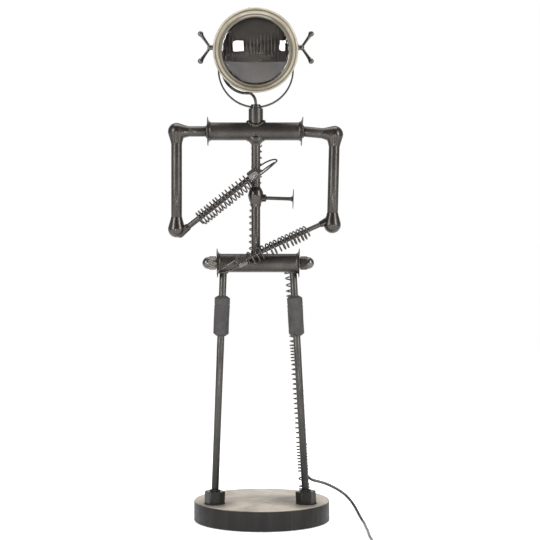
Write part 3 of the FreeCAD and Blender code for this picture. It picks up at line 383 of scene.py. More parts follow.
def hexed(name, stations, flats, foot, heading, look, node, slot, side=None, around=180, **more):
    """A hexagon bar, cut back to the limit at each (along, limit) station where it stands out further."""
    angle = full_turn(around)
    along, limit = np.array(stations, float).T[..., None]
    out = np.minimum(hexagon(angle, flats), limit)
    heading = unit(heading)
    points = foot + along[..., None] * heading + out[..., None] * spun(angle[:, None], *axes(heading, side))
    piece(name, points, capped_faces(len(stations), around), look, node, slot, crease=28, **more)


# Mains flex: black PVC, 5 mm. It comes out of the long spring behind the right leg, falls to the table,
# and the length that the camera doesn't see lies in a coil of two layers, wound in and back out.
def black_flex():
    look = Look("black_flex")
    haze = look.noise(260, detail=4)
    look.height((look.noise(900, detail=2), 0.00001))
    return look.finish(
        Base_Color=look.ramp(haze, (0.3, (0.006, 0.006, 0.006)), (0.75, (0.017, 0.016, 0.016))),
        Roughness=look.ramp(haze, (0.3, 0.20), (0.75, 0.34)),
        Specular_IOR_Level=0.6,
    )


FLEX_LOOK = black_flex()

COIL_CENTRE = vec(147.0, -286.0, 0.0)
COIL_RADIUS = 29.7
COIL_PITCH = 5.6
COIL_LAYER_TURNS = 3.375
COIL_LOW = FLEX + 0.8
COIL_HIGH = COIL_LOW + COIL_PITCH
COIL_OUTER = COIL_RADIUS + COIL_PITCH * COIL_LAYER_TURNS / 2
COIL_STEP = 1 / 16
LEAD_X = 76.9
LEAD_Y = -18.7
LEAD_Z = 80.0
LEG_LEAN = (LEAD_X - 53.8) / (437.0 - LEAD_Z)
FLEX_START_Z = 106.0


def leg_lead(z):
    """The line of the lead behind the right leg, at a height."""
    return vec(LEAD_X - LEG_LEAN * (z - LEAD_Z), LEAD_Y, z)


def coil_points():
    """Wound inwards on the table and back outwards on top. The control points stand out from the line by the
    share that a spline cuts off."""
    total = 2 * COIL_LAYER_TURNS + 0.5
    turn = np.arange(COIL_STEP, total + COIL_STEP / 2, COIL_STEP)
    down = np.minimum(turn, COIL_LAYER_TURNS)
    up = np.maximum(turn - COIL_LAYER_TURNS - 0.5, 0)
    climb = np.clip((turn - COIL_LAYER_TURNS) / 0.5, 0, 1)
    radius = (COIL_OUTER - COIL_PITCH * (down - up)) / math.cos(math.pi * COIL_STEP)
    height = COIL_LOW + (COIL_HIGH - COIL_LOW) * climb * climb * (3 - 2 * climb)
    angle = -2 * math.pi * turn
    return COIL_CENTRE + np.stack([radius * np.cos(angle), radius * np.sin(angle), height], -1)


coil_in = COIL_CENTRE + vec(COIL_OUTER, 0, COIL_LOW)
coil_end = COIL_CENTRE + vec(0, -COIL_OUTER, COIL_HIGH)
route = [
    leg_lead(FLEX_START_Z),
    leg_lead(FLEX_START_Z - 12.0),
    vec(80.6, -17.2, 82.2),
    vec(88.7, -14.2, 74.4),
    vec(100.6, -10.2, 71.0),
    vec(116.0, -6.0, 66.2),
    vec(133.5, -3.0, 57.2),
    vec(151.0, -1.8, 45.6),
    vec(164.6, -5.6, 29.6),
    vec(173.4, -14.2, 13.4),
    vec(179.3, -28.0, 3.9),
    vec(182.0, -48.0, FLEX),
    vec(181.9, -78.0, FLEX),
    vec(183.6, -118.0, FLEX),
    vec(182.8, -158.0, FLEX),
    vec(185.6, -198.0, FLEX),
    vec(183.6, -230.0, FLEX),
    vec(coil_in[0], -256.0, COIL_LOW),
    coil_in + vec(0, 5.0, 0),
]
tail = [
    coil_end + vec(-5.0, 0, 0),
    coil_end + vec(-18.0, 0, 0),
    vec(coil_end[0] - 35.0, coil_end[1] - 2.6, 6.8),
    vec(coil_end[0] - 49.0, coil_end[1] - 2.6, 6.8),
]
mains = curve_line("mains_flex", route + list(coil_points()) + tail, FLEX)
mains.data.materials.append(FLEX_LOOK)
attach(mains, "figure")
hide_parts("mains_cord", "cord_coil", "plug_flex")


# Plug and coil ties: a flat two-pin plug in grained black moulding with a ribbed relief, and tape ties.
def black_moulding():
    look = Look("black_moulding")
    grain = look.noise(1500, detail=2)
    look.height((grain, 0.00006))
    return look.finish(
        Base_Color=look.ramp(look.noise(90), (0.3, (0.010, 0.010, 0.010)), (0.7, (0.020, 0.019, 0.019))),
        Roughness=look.ramp(grain, (0.2, 0.42), (0.8, 0.6)),
    )


def plated():
    look = Look("plated")
    look.height((look.noise(500, stretch=(0.1, 1, 1)), 0.00002))
    return look.finish(Base_Color=(0.62, 0.60, 0.56), Metallic=1.0,
                       Roughness=look.ramp(look.noise(200), (0.3, 0.16), (0.7, 0.28)))


MOULDING_LOOK = black_moulding()
PLATED_LOOK = plated()
entry = tail[-1]
backwards = vec(-1, 0, 0)


def make_plug():
    """The moulding's rows are oblongs: (back from the flex's end, half width, half height, corner)."""
    sections = [
        (26.0, 4.6, 4.6, 4.5), (26.6, 6.6, 5.2, 4.4), (27.5, 7.4, 5.6, 4.2), (33.0, 9.8, 6.2, 4.2),
        (39.5, 12.8, 6.7, 4.2), (42.0, 13.0, 6.8, 4.0), (57.0, 13.0, 6.8, 4.0), (60.4, 13.0, 6.8, 4.0),
        (61.0, 12.4, 6.2, 3.6),
    ]
    rows = []
    for back, *sizes in sections:
        flat = oblong(*sizes)
        rows.append(entry + np.stack([np.full(len(flat), -back), flat[:, 0], flat[:, 1]], -1))
    body = piece("plug", np.array(rows), capped_faces(len(rows), len(rows[0])), MOULDING_LOOK, "plug_body",
                 "plug_moulding", crease=30)
    ribs = [(0.0, 2.5), (0.0, 3.4)]
    for index in range(7):
        start, size = 1.2 + 3.5 * index, 3.5 + 0.17 * index
        ribs += [(start + on, size + out) for on, out in ((0, 0), (0.3, -0.7), (1.5, -0.7), (1.8, 0.1))]
    ribs += [(26.2, 4.7), (26.2, 0.0)]
    relief = lathe("plug_relief", ribs, entry, backwards, MOULDING_LOOK, slot="plug_moulding", crease=30)
    return [body, relief]


def plug_pin(name, across):
    profile = rounded((0, 0), (0, 2.0), (17.6, 2.0, 0.6), (19.0, 1.2, 0.5), (19.0, 0))
    return lathe(name, profile, entry + vec(-61.0, across, 0), backwards, PLATED_LOOK, "plug_pins",
                 "plug_pins", around=32)


def coil_tie(name, degrees):
    """A band of tape round the windings at one place of the coil."""
    radial = vec(math.cos(math.radians(degrees)), math.sin(math.radians(degrees)), 0)
    near = COIL_OUTER - COIL_PITCH * COIL_LAYER_TURNS - FLEX - 1.0
    far = COIL_OUTER + FLEX + 1.0
    flat = oblong((far - near) / 2, COIL_HIGH / 2 + 1.3, 2.4)
    middle = COIL_CENTRE + radial * (near + far) / 2 + vec(0, 0, COIL_HIGH / 2 + 1.65)
    outer = middle + flat[:, :1] * radial + flat[:, 1:] * vec(0, 0, 1)
    inner = middle + (outer - middle) * 0.95
    width = np.cross(radial, vec(0, 0, 1)) * 3.0
    band = np.array([outer - width, outer + width, inner + width, inner - width])
    return piece(name, band, grid_faces(4, len(flat), closed=True), MOULDING_LOOK, "coil_ties", "tie_tape",
                 crease=30)


on_flex = make_plug()
on_flex += [plug_pin("plug_pin_near", -9.3), plug_pin("plug_pin_far", 9.3)]
on_flex += [coil_tie("coil_tie_right", 50.0), coil_tie("coil_tie_left", 230.0)]


# Base: a heavy iron disc, browned on its side and rubbed bright on top, with a dark board let into its
# underside. The two legs' nuts are welded to it.
def worn_iron():
    look = Look("worn_iron")
    top = look.ramp(look.maths("MULTIPLY", look.height_above_table(), 10.0), (0.352, 0.0), (0.368, 1.0))
    smudge = look.noise(14, detail=5, distortion=0.6)
    fine = look.noise(120, detail=6)
    top_colour = look.mix(
        look.ramp(fine, (0.25, 0.0), (0.8, 0.3)),
        look.ramp(smudge, (0.3, (0.22, 0.190, 0.155)), (0.5, (0.47, 0.415, 0.345)),
                  (0.7, (0.58, 0.515, 0.43))),
        (0.36, 0.310, 0.255),
    )
    # Dark patches on the top round the two nuts and between the legs: painted shadow, with some oily dirt by
    # the nuts.
    for place, reach, share in (((0.048, -0.008, 0.037), 0.062, 0.66), ((0.079, -0.058, 0.037), 0.045, 0.6),
                                ((-0.083, -0.055, 0.037), 0.048, 0.6)):
        shadow_and_oil = look.maths("MULTIPLY", look.near(place, reach), share)
        top_colour = look.mix(shadow_and_oil, top_colour, (0.085, 0.070, 0.056))
    streaks = look.noise(60, detail=5, stretch=(1, 1, 0.12))
    side = look.ramp(streaks, (0.3, (0.007, 0.006, 0.0055)), (0.55, (0.011, 0.0095, 0.009)),
                     (0.8, (0.022, 0.019, 0.017)))
    look.height((fine, 0.00006))
    return look.finish(
        Base_Color=look.mix(top, side, top_colour),
        Metallic=look.mix(top, (0.15, 0.15, 0.15), (0.35, 0.35, 0.35)),
        Roughness=look.mix(top, look.ramp(fine, (0.3, 0.42), (0.7, 0.55)),
                           look.ramp(fine, (0.3, 0.38), (0.7, 0.52))),
        Specular_IOR_Level=0.25,
    )


def fibre_board():
    look = Look("fibre_board")
    fleck = look.noise(700, detail=5)
    look.height((fleck, 0.0001))
    brown = look.ramp(fleck, (0.3, (0.012, 0.010, 0.009)), (0.7, (0.035, 0.029, 0.025)))
    return look.finish(Base_Color=brown, Roughness=0.8)


origin = vec(0, 0, 0)
rise = vec(0, 0, 1)
DISC_R = 121.7
RECESS_R = 101.7
RECESS_DEEP = 23
disc_profile = rounded((BASE_TOP, 0), (BASE_TOP, DISC_R, 2.2), (1, DISC_R, 1.6), (1, RECESS_R, 0.5),
                       (RECESS_DEEP, RECESS_R, 2), (RECESS_DEEP, 0))
lathe("disc", disc_profile, origin, rise, worn_iron(), "base_disc", "base_iron", around=256)
board_profile = rounded((0, 0), (0, 101.5, 1.0), (5, 101.5, 0.3), (5, 0))
lathe("board", board_profile, origin, rise, fibre_board(), "base_board", "base_board", around=192)


# Legs: a straight steel rod each side, a welded nut at its foot, a weld under the waist and a rubber sleeve
# for the knee. The steel is heat-browned and lacquered over.
def lacquered_steel(name, dark, light, lumps=0.0, smooth=0.44, metal=0.9, gloss=0.28, shine=0.5,
                    darker_low=False):
    """Browned steel under clear lacquer. Lumps is the depth of a casting's unevenness, in metres. One may be
    made darker towards the base."""
    look = Look(name)
    patches = look.noise(16, detail=3)
    grime = look.noise(60, detail=2, stretch=(1, 1, 0.3))
    layers = [(look.noise(30, detail=1), 0.00008)]
    if lumps:
        layers.append((look.noise(110, detail=2), lumps))
    look.height(*layers)
    shade = look.mix(look.ramp(grime, (0.4, 0.0), (0.75, 0.35)),
                     look.ramp(patches, (0.3, dark), (0.7, light)), tuple(0.7 * tone for tone in dark))
    # Darker towards the base: the colour falls to about a third near the foot.
    if darker_low:
        low_darkening = look.ramp(look.height_above_table(), (0.06, 0.32), (0.34, 1.0))
        shade = look.mix(1.0, shade, low_darkening, blend_type="MULTIPLY")
    return look.finish(
        Base_Color=shade,
        Metallic=metal,
        Roughness=look.ramp(grime, (0.3, smooth), (0.75, smooth + 0.08)),
        Specular_IOR_Level=shine,
        Coat_Weight=gloss,
        Coat_Roughness=0.13,
    )


STEEL_LOOK = lacquered_steel("lacquered_steel", (0.043, 0.038, 0.034), (0.076, 0.068, 0.061))
LEG_LOOK = lacquered_steel("leg_steel", (0.050, 0.047, 0.042), (0.090, 0.085, 0.076), darker_low=True)
CAST_LOOK = lacquered_steel("cast_steel", (0.038, 0.033, 0.029), (0.075, 0.065, 0.057), lumps=0.00012,
                            smooth=0.3)
NUT_LOOK = lacquered_steel("blackened_nut", (0.006, 0.0055, 0.005), (0.013, 0.012, 0.011), lumps=0.0001,
                           smooth=0.25, metal=0.2, gloss=0.1, shine=0.18)
CAP_LOOK = lacquered_steel("worn_nut", (0.070, 0.065, 0.060), (0.14, 0.13, 0.12), lumps=0.00004, smooth=0.24)
HIP = {"left": vec(-67.3, FIGURE_Y, WAIST_Z), "right": vec(54.8, FIGURE_Y, WAIST_Z)}
FOOT = {"left": vec(-83.3, FIGURE_Y, BASE_TOP), "right": vec(78.9, FIGURE_Y, BASE_TOP)}
LEG = 6.4
KNEE_Z = 369.4
FOOT_NUT_FLATS = 31.0
WAIST_R = 16.5
SHOULDER_R = 16.0


def rod(name, start, end, radius, node, look=STEEL_LOOK):
    """A round bar between two places with its edges just broken."""
    along = np.linalg.norm(end - start)
    profile = rounded((0, 0), (0, radius, 0.4), (along, radius, 0.4), (along, 0), steps=2)
    lathe(name, profile, start, end - start, look, node, "lacquered_steel", around=48)


def weld(name, path, size, seed, look=CAST_LOOK):
    """A bead along a closed path, thick and thin with each dab of the torch."""
    share = full_turn(len(path))
    dabs = max(6, round(np.linalg.norm(np.diff(path, axis=0), axis=1).sum() / 4.5))
    thick = size * (1 + 0.16 * np.sin(dabs * share + seed) + 0.12 * np.sin(3 * share + 2 * seed))
    swept(name, path, thick, look, around=10, closed=True)


def ring_path(centre, heading, radius, count=96):
    return centre + radius * spun(full_turn(count)[:, None], *axes(unit(heading)))


def saddle_path(start, end, radius, tube_z, tube_radius, below=True):
    """Where a rod's surface meets the surface of a tube that lies along X."""
    path = ring_path(start, end - start, radius, count=120)
    drop = np.sqrt(tube_radius**2 - (path[:, 1] - FIGURE_Y) ** 2)
    height = tube_z - drop if below else tube_z + drop
    heading = (end - start) / (end - start)[2]
    return path + (height - path[:, 2])[:, None] * heading


for side in SIDES:
    foot, hip = FOOT[side], HIP[side]
    lean = (hip - foot) / (hip - foot)[2]
    length = WAIST_Z - WAIST_R + 1.5 - BASE_TOP
    rod("leg_rod_" + side, foot, foot + lean * length, LEG, "leg_" + side, LEG_LOOK)
    weld("hip_weld_" + side, saddle_path(foot, hip, LEG + 0.4, WAIST_Z, WAIST_R + 0.2), 1.9, seed=foot[0])


def foot_nut(side):
    """A nut square to its leg, corners left and right, with a bead at its foot and one round the leg."""
    foot, along = FOOT[side], unit(HIP[side] - FOOT[side])
    stations = [(-0.7, 17.9), (21.4, 17.9), (22.5, 17.1), (22.5, 9.0), (23.4, 8.7), (24.6, 7.4), (25.4, 6.2)]
    hexed("foot_nut_" + side, stations, FOOT_NUT_FLATS, foot, along, NUT_LOOK, "foot_nuts", "engine_steel",
          side=vec(1, 0, 0))
    angle = full_turn(160)
    out = np.minimum(hexagon(angle, FOOT_NUT_FLATS), 17.5)
    path = foot + vec(0, 0, 0.3) + np.stack([out * np.cos(angle), out * np.sin(angle), 0 * angle], -1)
    weld("foot_weld_" + side, path, 1.5, seed=1.3, look=NUT_LOOK)
    shin = ring_path(foot + along * 23.2, along, LEG + 1.2)
    weld("shin_weld_" + side, shin, 1.9, seed=2.1, look=NUT_LOOK)


foot_nut("left")
foot_nut("right")


def knee_rubber():
    look = Look("knee_rubber")
    fine = look.noise(900, detail=4)
    scuff = look.noise(70, detail=5)
    look.height((fine, 0.00012), (scuff, 0.0003))
    return look.finish(
        Base_Color=look.ramp(scuff, (0.3, (0.030, 0.028, 0.028)), (0.75, (0.062, 0.058, 0.057))),
        Roughness=look.ramp(fine, (0.2, 0.62), (0.8, 0.8)),
        Specular_IOR_Level=0.35,
    )


def knee_sleeve(side, look, around=96):
    """A length of hose on the leg, a little out of round away from its drawn-in ends."""
    foot, along = FOOT[side], unit(HIP[side] - FOOT[side])
    knee = foot + along * (KNEE_Z - BASE_TOP) / along[2]
    profile = rounded((-35.7, LEG), (-35.7, 7.8, 0.5), (-31.5, 13.7, 1.6), (-8, 13.6, 3), (18.2, 13.7, 0.5),
                      (19.5, 13.1, 0.8), (21, 13.6, 0.5), (31.5, 13.7, 1.6), (35.7, 7.8, 0.5), (35.7, LEG))
    points = turned(profile, knee, along, around)
    angle, place, out = full_turn(around), profile[:, :1], profile[:, 1:]
    swell = 0.22 * np.sin(3 * angle + place / 9) + 0.15 * np.sin(7 * angle - place / 5)
    outward = points - (knee + (points - knee) @ along[:, None] * along)
    outward /= np.linalg.norm(outward, axis=2, keepdims=True)
    points += outward * ((out > 9) * swell)[..., None]
    piece("knee_" + side, points, grid_faces(len(profile), around, closed=True), look, "knee_sleeve_" + side,
          "sleeve_rubber")


RUBBER_LOOK = knee_rubber()
knee_sleeve("left", RUBBER_LOOK)
knee_sleeve("right", RUBBER_LOOK)


# Waist and shoulders: steel tubes with thin spun flares, a plate in each end, and at the waist a rod through
# with a domed nut each side.
WAIST_ENDS = {"left": -78.9, "right": 66.8}
SHOULDER_ENDS = {"left": -95.9, "right": 72.0}
FLARE_R = 25.8
CAP_NUT_R = 10.6


def flared_tube(name, ends, radius, height, bent, node, around=128):
    """A tube along X. Its flares lean out a little more on one side, by bent millimetres (left, right)."""
    left, right = ends.values()
    length, bore = right - left, radius - 3.0
    profile = rounded((0, bore), (0, FLARE_R, 0.4), (1.1, FLARE_R, 0.4), (2.4, radius, 6.0),
                      (length - 2.4, radius, 6.0), (length - 1.1, FLARE_R, 0.4), (length, FLARE_R, 0.4),
                      (length, bore))
    points = turned(profile, vec(left, FIGURE_Y, height), vec(1, 0, 0), around, side=rise)
    angle, place, out = full_turn(around), profile[:, :1], profile[:, 1:]
    flare = np.clip((out - radius - 1) / (FLARE_R - 1 - radius), 0, 1)
    lean = np.where(place < length / 2, -bent[0], bent[1]) * (np.cos(angle) + 0.3 * np.sin(3 * angle))
    points[..., 0] += flare * lean
    piece(name, points, grid_faces(len(profile), around, closed=True), STEEL_LOOK, node, "lacquered_steel",
          crease=30)


def end_plate(name, x, inward, height, hole, node, radius=13.0, thick=4):
    profile = rounded((0, hole), (0, radius, 0.5), (thick, radius, 0.3), (thick, hole))
    lathe(name, profile, vec(x, FIGURE_Y, height), vec(inward, 0, 0), STEEL_LOOK, node, "lacquered_steel",
          ring=True)


flared_tube("waist", WAIST_ENDS, WAIST_R, WAIST_Z, (0.4, 0.4), "waist_tube")
flared_tube("shoulders", SHOULDER_ENDS, SHOULDER_R, SHOULDER_Z, (0.3, 1.4), "shoulder_tube")
for tube, ends, height, hole in (("waist", WAIST_ENDS, WAIST_Z, 7.0),
                                 ("shoulder", SHOULDER_ENDS, SHOULDER_Z, 0.01)):
    for side, out in SIDES.items():
        end_plate(f"{tube}_plate_{side}", ends[side], -out, height, hole, tube + "_end_plates")
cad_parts["waist_rod"].data.materials.clear()
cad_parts["waist_rod"].data.materials.append(STEEL_LOOK)

cap_stations = [(0, 9.5), (1.2, 9.5), (1.4, 11.0), (2.4, 12.12), (13.2, 12.12), (14.3, 10.9),
                (15.2, CAP_NUT_R), *ball_outline(15.5, CAP_NUT_R, 0, math.pi / 2, 14)[1:]]
for side, out, roll in (("left", -1, 0.5), ("right", 1, -0.4)):
    hexed("waist_nut_" + side, cap_stations, 21.0, vec(WAIST_ENDS[side], FIGURE_Y, WAIST_Z), vec(out, 0, 0),
          CAP_LOOK, "waist_cap_nuts", "lacquered_steel", side=vec(0, -1, roll))


# Spine: a bar from the waist to a cast knuckle and on up to the shoulders, where a weld spreads it. An
# engine valve sits in the knuckle's side boss and points to the right.
SPINE = 7.8
KNUCKLE_Z = 582.0
spine = column(0)
rod("spine_rod_lower", spine + rise * (WAIST_Z + WAIST_R - 1.8), spine + rise * 562.5, SPINE, "spine_lower")
weld("spine_weld_lower", saddle_path(spine, spine + rise, SPINE + 0.4, WAIST_Z, WAIST_R + 0.2, below=False),
     1.6, seed=0.7)
spread = rounded((597.5, 0), (597.5, SPINE, 0.4), (672.5, SPINE, 6), (678.6, 13.6, 3.0), (681.2, 14.4, 1.2),
                 (684.5, 14.2), (684.5, 0))
lathe("spine_rod_upper", spread, spine, rise, STEEL_LOOK, "spine_upper", "lacquered_steel")
weld("spine_weld_upper", saddle_path(spine, spine + rise, 14.2, SHOULDER_Z, SHOULDER_R + 0.1), 1.5, seed=2.9)

boss_foot = column(KNUCKLE_Z - 4.2)
ball = rounded((-20, 0), (-20, 8.9, 0.8), (-14.5, 9.4, 3), (-8.5, 11.9, 4), (0.5, 14.1, 7), (9.0, 12.0, 4),
               (15.2, 8.4, 1), (16, 7.4, 0.5), (16, 0))
boss = rounded((6, 0), (6, 7.0), (12, 6.8, 3), (17.0, 6.8, 1.0), (18.7, 5.0, 0.7), (18.7, 3.0), (14, 3.0),
               (14, 0))
knuckle = merged(turned_shape(ball, spine + rise * KNUCKLE_Z, rise),
                 turned_shape(boss, boss_foot, vec(1, 0, 0), around=48))
piece("knuckle", *knuckle, CAST_LOOK, "spine_knuckle", "cast_joints")

valve_droop = math.radians(2.0)
valve_heading = vec(math.cos(valve_droop), 0, -math.sin(valve_droop))
valve_profile = rounded((0, 0), (0, 3.2, 0.3), (50, 3.2), (58.0, 3.7, 4.0), (58.9, 16.7, 0.3),
                        (59.1, 17.4, 0.3), (60.1, 17.4, 0.3), (60.1, 0), steps=7)
lathe("valve", valve_profile, boss_foot + vec(18.7, 0, 0) - valve_heading * 12.0, valve_heading, STEEL_LOOK,
      "engine_valve", "engine_steel", crease=30)


# Arms: bars between cast balls whose necks taper off them. The forearms are thinner rods, each in a spring
# that hangs a little low, with a nut and a wire loop for the hand.
SHOULDER = {"left": vec(-150.5, FIGURE_Y, 695.6), "right": vec(129.0, FIGURE_Y, 690.3)}
ELBOW = {"left": vec(-150.5, FIGURE_Y, 523.0), "right": vec(125.0, FIGURE_Y, 530.6)}
ROOT = {"left": vec(-144.5, FIGURE_Y, 515.4), "right": vec(121.1, FIGURE_Y, 539.0)}
HAND = {"left": vec(-14.0, -64.5, 617.6), "right": vec(-35.4, -77.0, 467.4)}
FOREARM = {"left": 5.0, "right": 4.2}
SHOULDER_BALL = 15.4
ELBOW_BALL = 15.2
ROOT_BALL = 8.2
ARM = 9.6
STUB = 9.3
NECK_LENGTH = 21.0
BAR_START = 20.5
HAND_NUT_LENGTH = 17.0


def ball_and_neck(centre, radius, heading, length, end):
    """A ball that draws in to a neck of the end radius, as a turned shape along heading."""
    lean = math.pi / 2 - (math.atan2(end, length) + math.acos(radius / math.hypot(length, end)))
    profile = ball_outline(0, radius, -math.pi / 2, 0, 12)[:-1] + ball_outline(0, radius, 0, lean, 6)
    profile += [(length - 3.0, end + 0.25), (length - 1.2, end + 0.1), (length, end - 0.3), (length, 0)]
    return turned_shape(profile, centre, heading)


def below(heading):
    """Square to the heading and to -Y, on the lower side."""
    square = unit(np.cross(heading, vec(0, -1, 0)))
    return square if square[2] < 0 else -square


def arm(side, out):
    """One arm from the shoulder tube's end to the hand's nut."""
    shoulder, elbow, root, hand = SHOULDER[side], ELBOW[side], ROOT[side], HAND[side]
    tube_end = vec(SHOULDER_ENDS[side], FIGURE_Y, SHOULDER_Z)
    inward, down, forearm = unit(tube_end - shoulder), unit(elbow - shoulder), unit(hand - root)
    ball = merged(ball_and_neck(shoulder, SHOULDER_BALL, inward, NECK_LENGTH, STUB + 0.7),
                  ball_and_neck(shoulder, SHOULDER_BALL, down, NECK_LENGTH, ARM + 0.7))
    piece("shoulder_ball_" + side, *ball, CAST_LOOK, "shoulder_knuckle_" + side, "cast_joints")
    rod("stub_" + side, shoulder + inward * BAR_START, tube_end, STUB, "arm_stub_" + side)
    weld("stub_weld_" + side, ring_path(tube_end + vec(out * 0.8, 0, 0), vec(1, 0, 0), STUB + 0.6), 1.8,
         seed=out)
    rod("arm_bar_" + side, shoulder + down * BAR_START, elbow - down * BAR_START, ARM, "upper_arm_" + side)
    ball = merged(ball_and_neck(elbow, ELBOW_BALL, -down, NECK_LENGTH, ARM + 0.7),
                  ball_and_neck(root, ROOT_BALL, forearm, 20.0, FOREARM[side] + 1.4))
    piece("elbow_ball_" + side, *ball, CAST_LOOK, "elbow_" + side, "cast_joints")
    nut_start = hand - forearm * HAND_NUT_LENGTH / 2
    rod("forearm_rod_" + side, root + forearm * 12, nut_start + forearm * 3, FOREARM[side],
        "forearm_" + side)
    stations = [(0, 9.0), (0.8, 9.9), (1.5, 10.39), (15.5, 10.39), (16.2, 9.9), (HAND_NUT_LENGTH, 9.0),
                (HAND_NUT_LENGTH, 5.4), (15.5, 4.8), (15.5, 0)]
    hexed("hand_nut_piece_" + side, stations, 18.0, nut_start, forearm, CAP_LOOK, "hand_nut_" + side,
          "lacquered_steel", side=below(forearm))


arm("left", -1)
arm("right", 1)

WIRE_LOOK = lacquered_steel("spring_wire", (0.055, 0.050, 0.046), (0.11, 0.10, 0.092), smooth=0.2)
SPRING_WIRE = 1.35
HAND_WIRE = 1.4
SPRING_DROOP = 2.7


def forearm_spring(side, coil, turns, start):
    """A coil whose last eighth of a turn at each end draws in to the rod, where it is welded from below."""
    root, hand, inner = ROOT[side], HAND[side], FOREARM[side]
    forearm = unit(hand - root)
    length = np.linalg.norm(hand - root) - HAND_NUT_LENGTH / 2 - 3.0 - start
    down = below(forearm)
    turn = np.linspace(0, turns, turns * 36 + 1)[:, None]
    share = turn / turns
    uneven = 0.9 * np.sin(turn * 2.3) * np.sin(math.pi * share)
    along = start + length * (share - 0.2 * share * (1 - share)) + uneven
    ends = np.clip(np.minimum(turn, turns - turn) / 0.14, 0, 1)
    ends = ends * ends * (3 - 2 * ends)
    radius = inner - SPRING_DROOP + (coil - inner + SPRING_DROOP + 0.25 * np.sin(5.1 * turn)) * ends
    line = (root + along * forearm + down * SPRING_DROOP
            + radius * spun(2 * math.pi * turn, down, np.cross(forearm, down)))
    swept("spring_" + side, line, SPRING_WIRE, WIRE_LOOK, "forearm_spring_" + side, "spring_wire", around=12)


forearm_spring("left", 13.2, 16, 42.0)
forearm_spring("right", 11.4, 15, 46.0)


def hand_wire(name, node, *points):
    swept(name, line_points(name + "_line", points), HAND_WIRE, WIRE_LOOK, node, "spring_wire")


def hand_frame(side):
    """The forearm's direction, the nut's front face, a place inside the nut and the way down across it."""
    forearm = unit(HAND[side] - ROOT[side])
    face = HAND[side] + forearm * HAND_NUT_LENGTH / 2
    return forearm, face, face - forearm * 3.6, below(forearm)


forearm, face, inside, down = hand_frame("left")
low, high, back = down * 7.2, down * 3.4, FIGURE_Y + SPINE + 1.4
hand_wire("hand_wire_left", "hand_loop_left", inside + low, face + low + forearm * 4, vec(12.5, -62, 629),
          vec(22.5, -58.5, 638.2), vec(28.0, -56.5, 643.5), vec(24, -50, 646.4), vec(14, -42.5, 644.5),
          vec(1, back + 2.5, 638.5), vec(COLUMN_X + 1, back, 630))
hand_wire("hand_wire_left_second", "hand_loop_left", inside + high, face + high + forearm * 4,
          vec(11, -60.5, 632.4), vec(22.5, -57.9, 640.2))

forearm, face, inside, down = hand_frame("right")
lift = down * -4.2 + vec(-1.0, -2.6, 0.4)
lift -= forearm * (lift @ forearm)
hand_wire("hand_wire_right", "hand_loop_right", inside + lift, face + lift + forearm * 3,
          vec(-60, -76.5, 458.5), vec(-70, -75.8, 453), vec(-76.3, -75.5, 450.2), vec(-75.3, -75.5, 445.4),
          vec(-69, -75.5, 446.8), vec(-59, -75.5, 448.6), vec(-46, -77, 453.5), inside - lift)


# Neck: a tube welded to the shoulders, a hollow pivot plugged into its top, a washer below the yoke and a
# round nut above it. The lead comes out of the shoulder tube's back through a grommet and runs down the
# figure.
NECK_TOP = 736.0
PAD_BOTTOM = 737.0
CAP_BOTTOM = 740.7
NIPPLE_TOP = 743.3


def neck_ring(name, profile, look, node, slot="neck_hardware", **more):
    lathe(name, profile, spine, rise, look, node, slot, ring=True, **more)


neck_ring("neck", rounded((709, 9.8), (709, 12.8), (NECK_TOP, 12.8, 0.6), (NECK_TOP, 9.8, 0.3)), STEEL_LOOK,
          "neck_tube", "lacquered_steel")
neck_foot = saddle_path(spine, spine + rise, 13.9, SHOULDER_Z, SHOULDER_R + 0.5, below=False)
weld("neck_weld", neck_foot, 3.1, seed=1.9)
nipple = rounded((730, 3.1), (730, 9.8, 0.4), (NECK_TOP, 9.8, 0.2), (NECK_TOP, 5.0), (NIPPLE_TOP, 5.0, 0.4),
                 (NIPPLE_TOP, 3.1, 0.4))
neck_ring("nipple", nipple, STEEL_LOOK, "neck_nipple", around=48)
washer = rounded((NECK_TOP, 5.0), (NECK_TOP, 11.0, 0.2), (NECK_TOP + 0.7, 11.0, 0.2), (NECK_TOP + 0.7, 5.0))
neck_ring("washer", washer, STEEL_LOOK, "neck_washer")
cap = rounded((CAP_BOTTOM, 5.0), (CAP_BOTTOM, 8.8, 0.4), (NIPPLE_TOP, 8.8, 0.7), (NIPPLE_TOP, 5.0, 0.2))
neck_ring("neck_nut", cap, CAST_LOOK, "neck_cap")


def soft_rubber():
    look = Look("soft_rubber")
    fine = look.noise(800)
    look.height((fine, 0.00006))
    return look.finish(Base_Color=(0.012, 0.012, 0.012), Roughness=look.ramp(fine, (0.2, 0.45), (0.8, 0.65)))


SOFT_LOOK = soft_rubber()
LEAD_SLOPE = math.radians(35.0)
LEAD_FOOT_Z = 40.0
FLEX_EXIT_Z = 88.5
LEAD_WIRE = 1.3
LEAD_CURL = 8.6
LEAD_SPRING_TOP = 672.8
behind = vec(0, math.cos(LEAD_SLOPE), -math.sin(LEAD_SLOPE))
shoulder_middle = column(SHOULDER_Z)
grommet = rounded((12, 2.5), (12, 5.5, 0.8), (18.2, 5.5, 0.8), (21.5, 3.7, 0.5), (21.5, 2.5, 0.3))
lathe("shoulder_grommet", grommet, shoulder_middle, behind, SOFT_LOOK, "lead_grommet", "soft_rubber",
      ring=True, around=48)


def figure_lead(bottom):
    """The lead's smooth line from the neck's top, out of the shoulders and down behind spine and leg."""
    bend = shoulder_middle + behind * (LEAD_Y - FIGURE_Y) / behind[1]
    waist = vec(-13.2, LEAD_Y, WAIST_Z)
    return line_points("lead_route", [
        column(NIPPLE_TOP - 0.2), column(SHOULDER_Z + 21), shoulder_middle, bend, bend + vec(-0.3, 0, -21),
        waist + vec(0.7, 0, 52), waist, leg_lead(WAIST_Z), leg_lead(WAIST_Z - 52), leg_lead(200),
        leg_lead(bottom)])


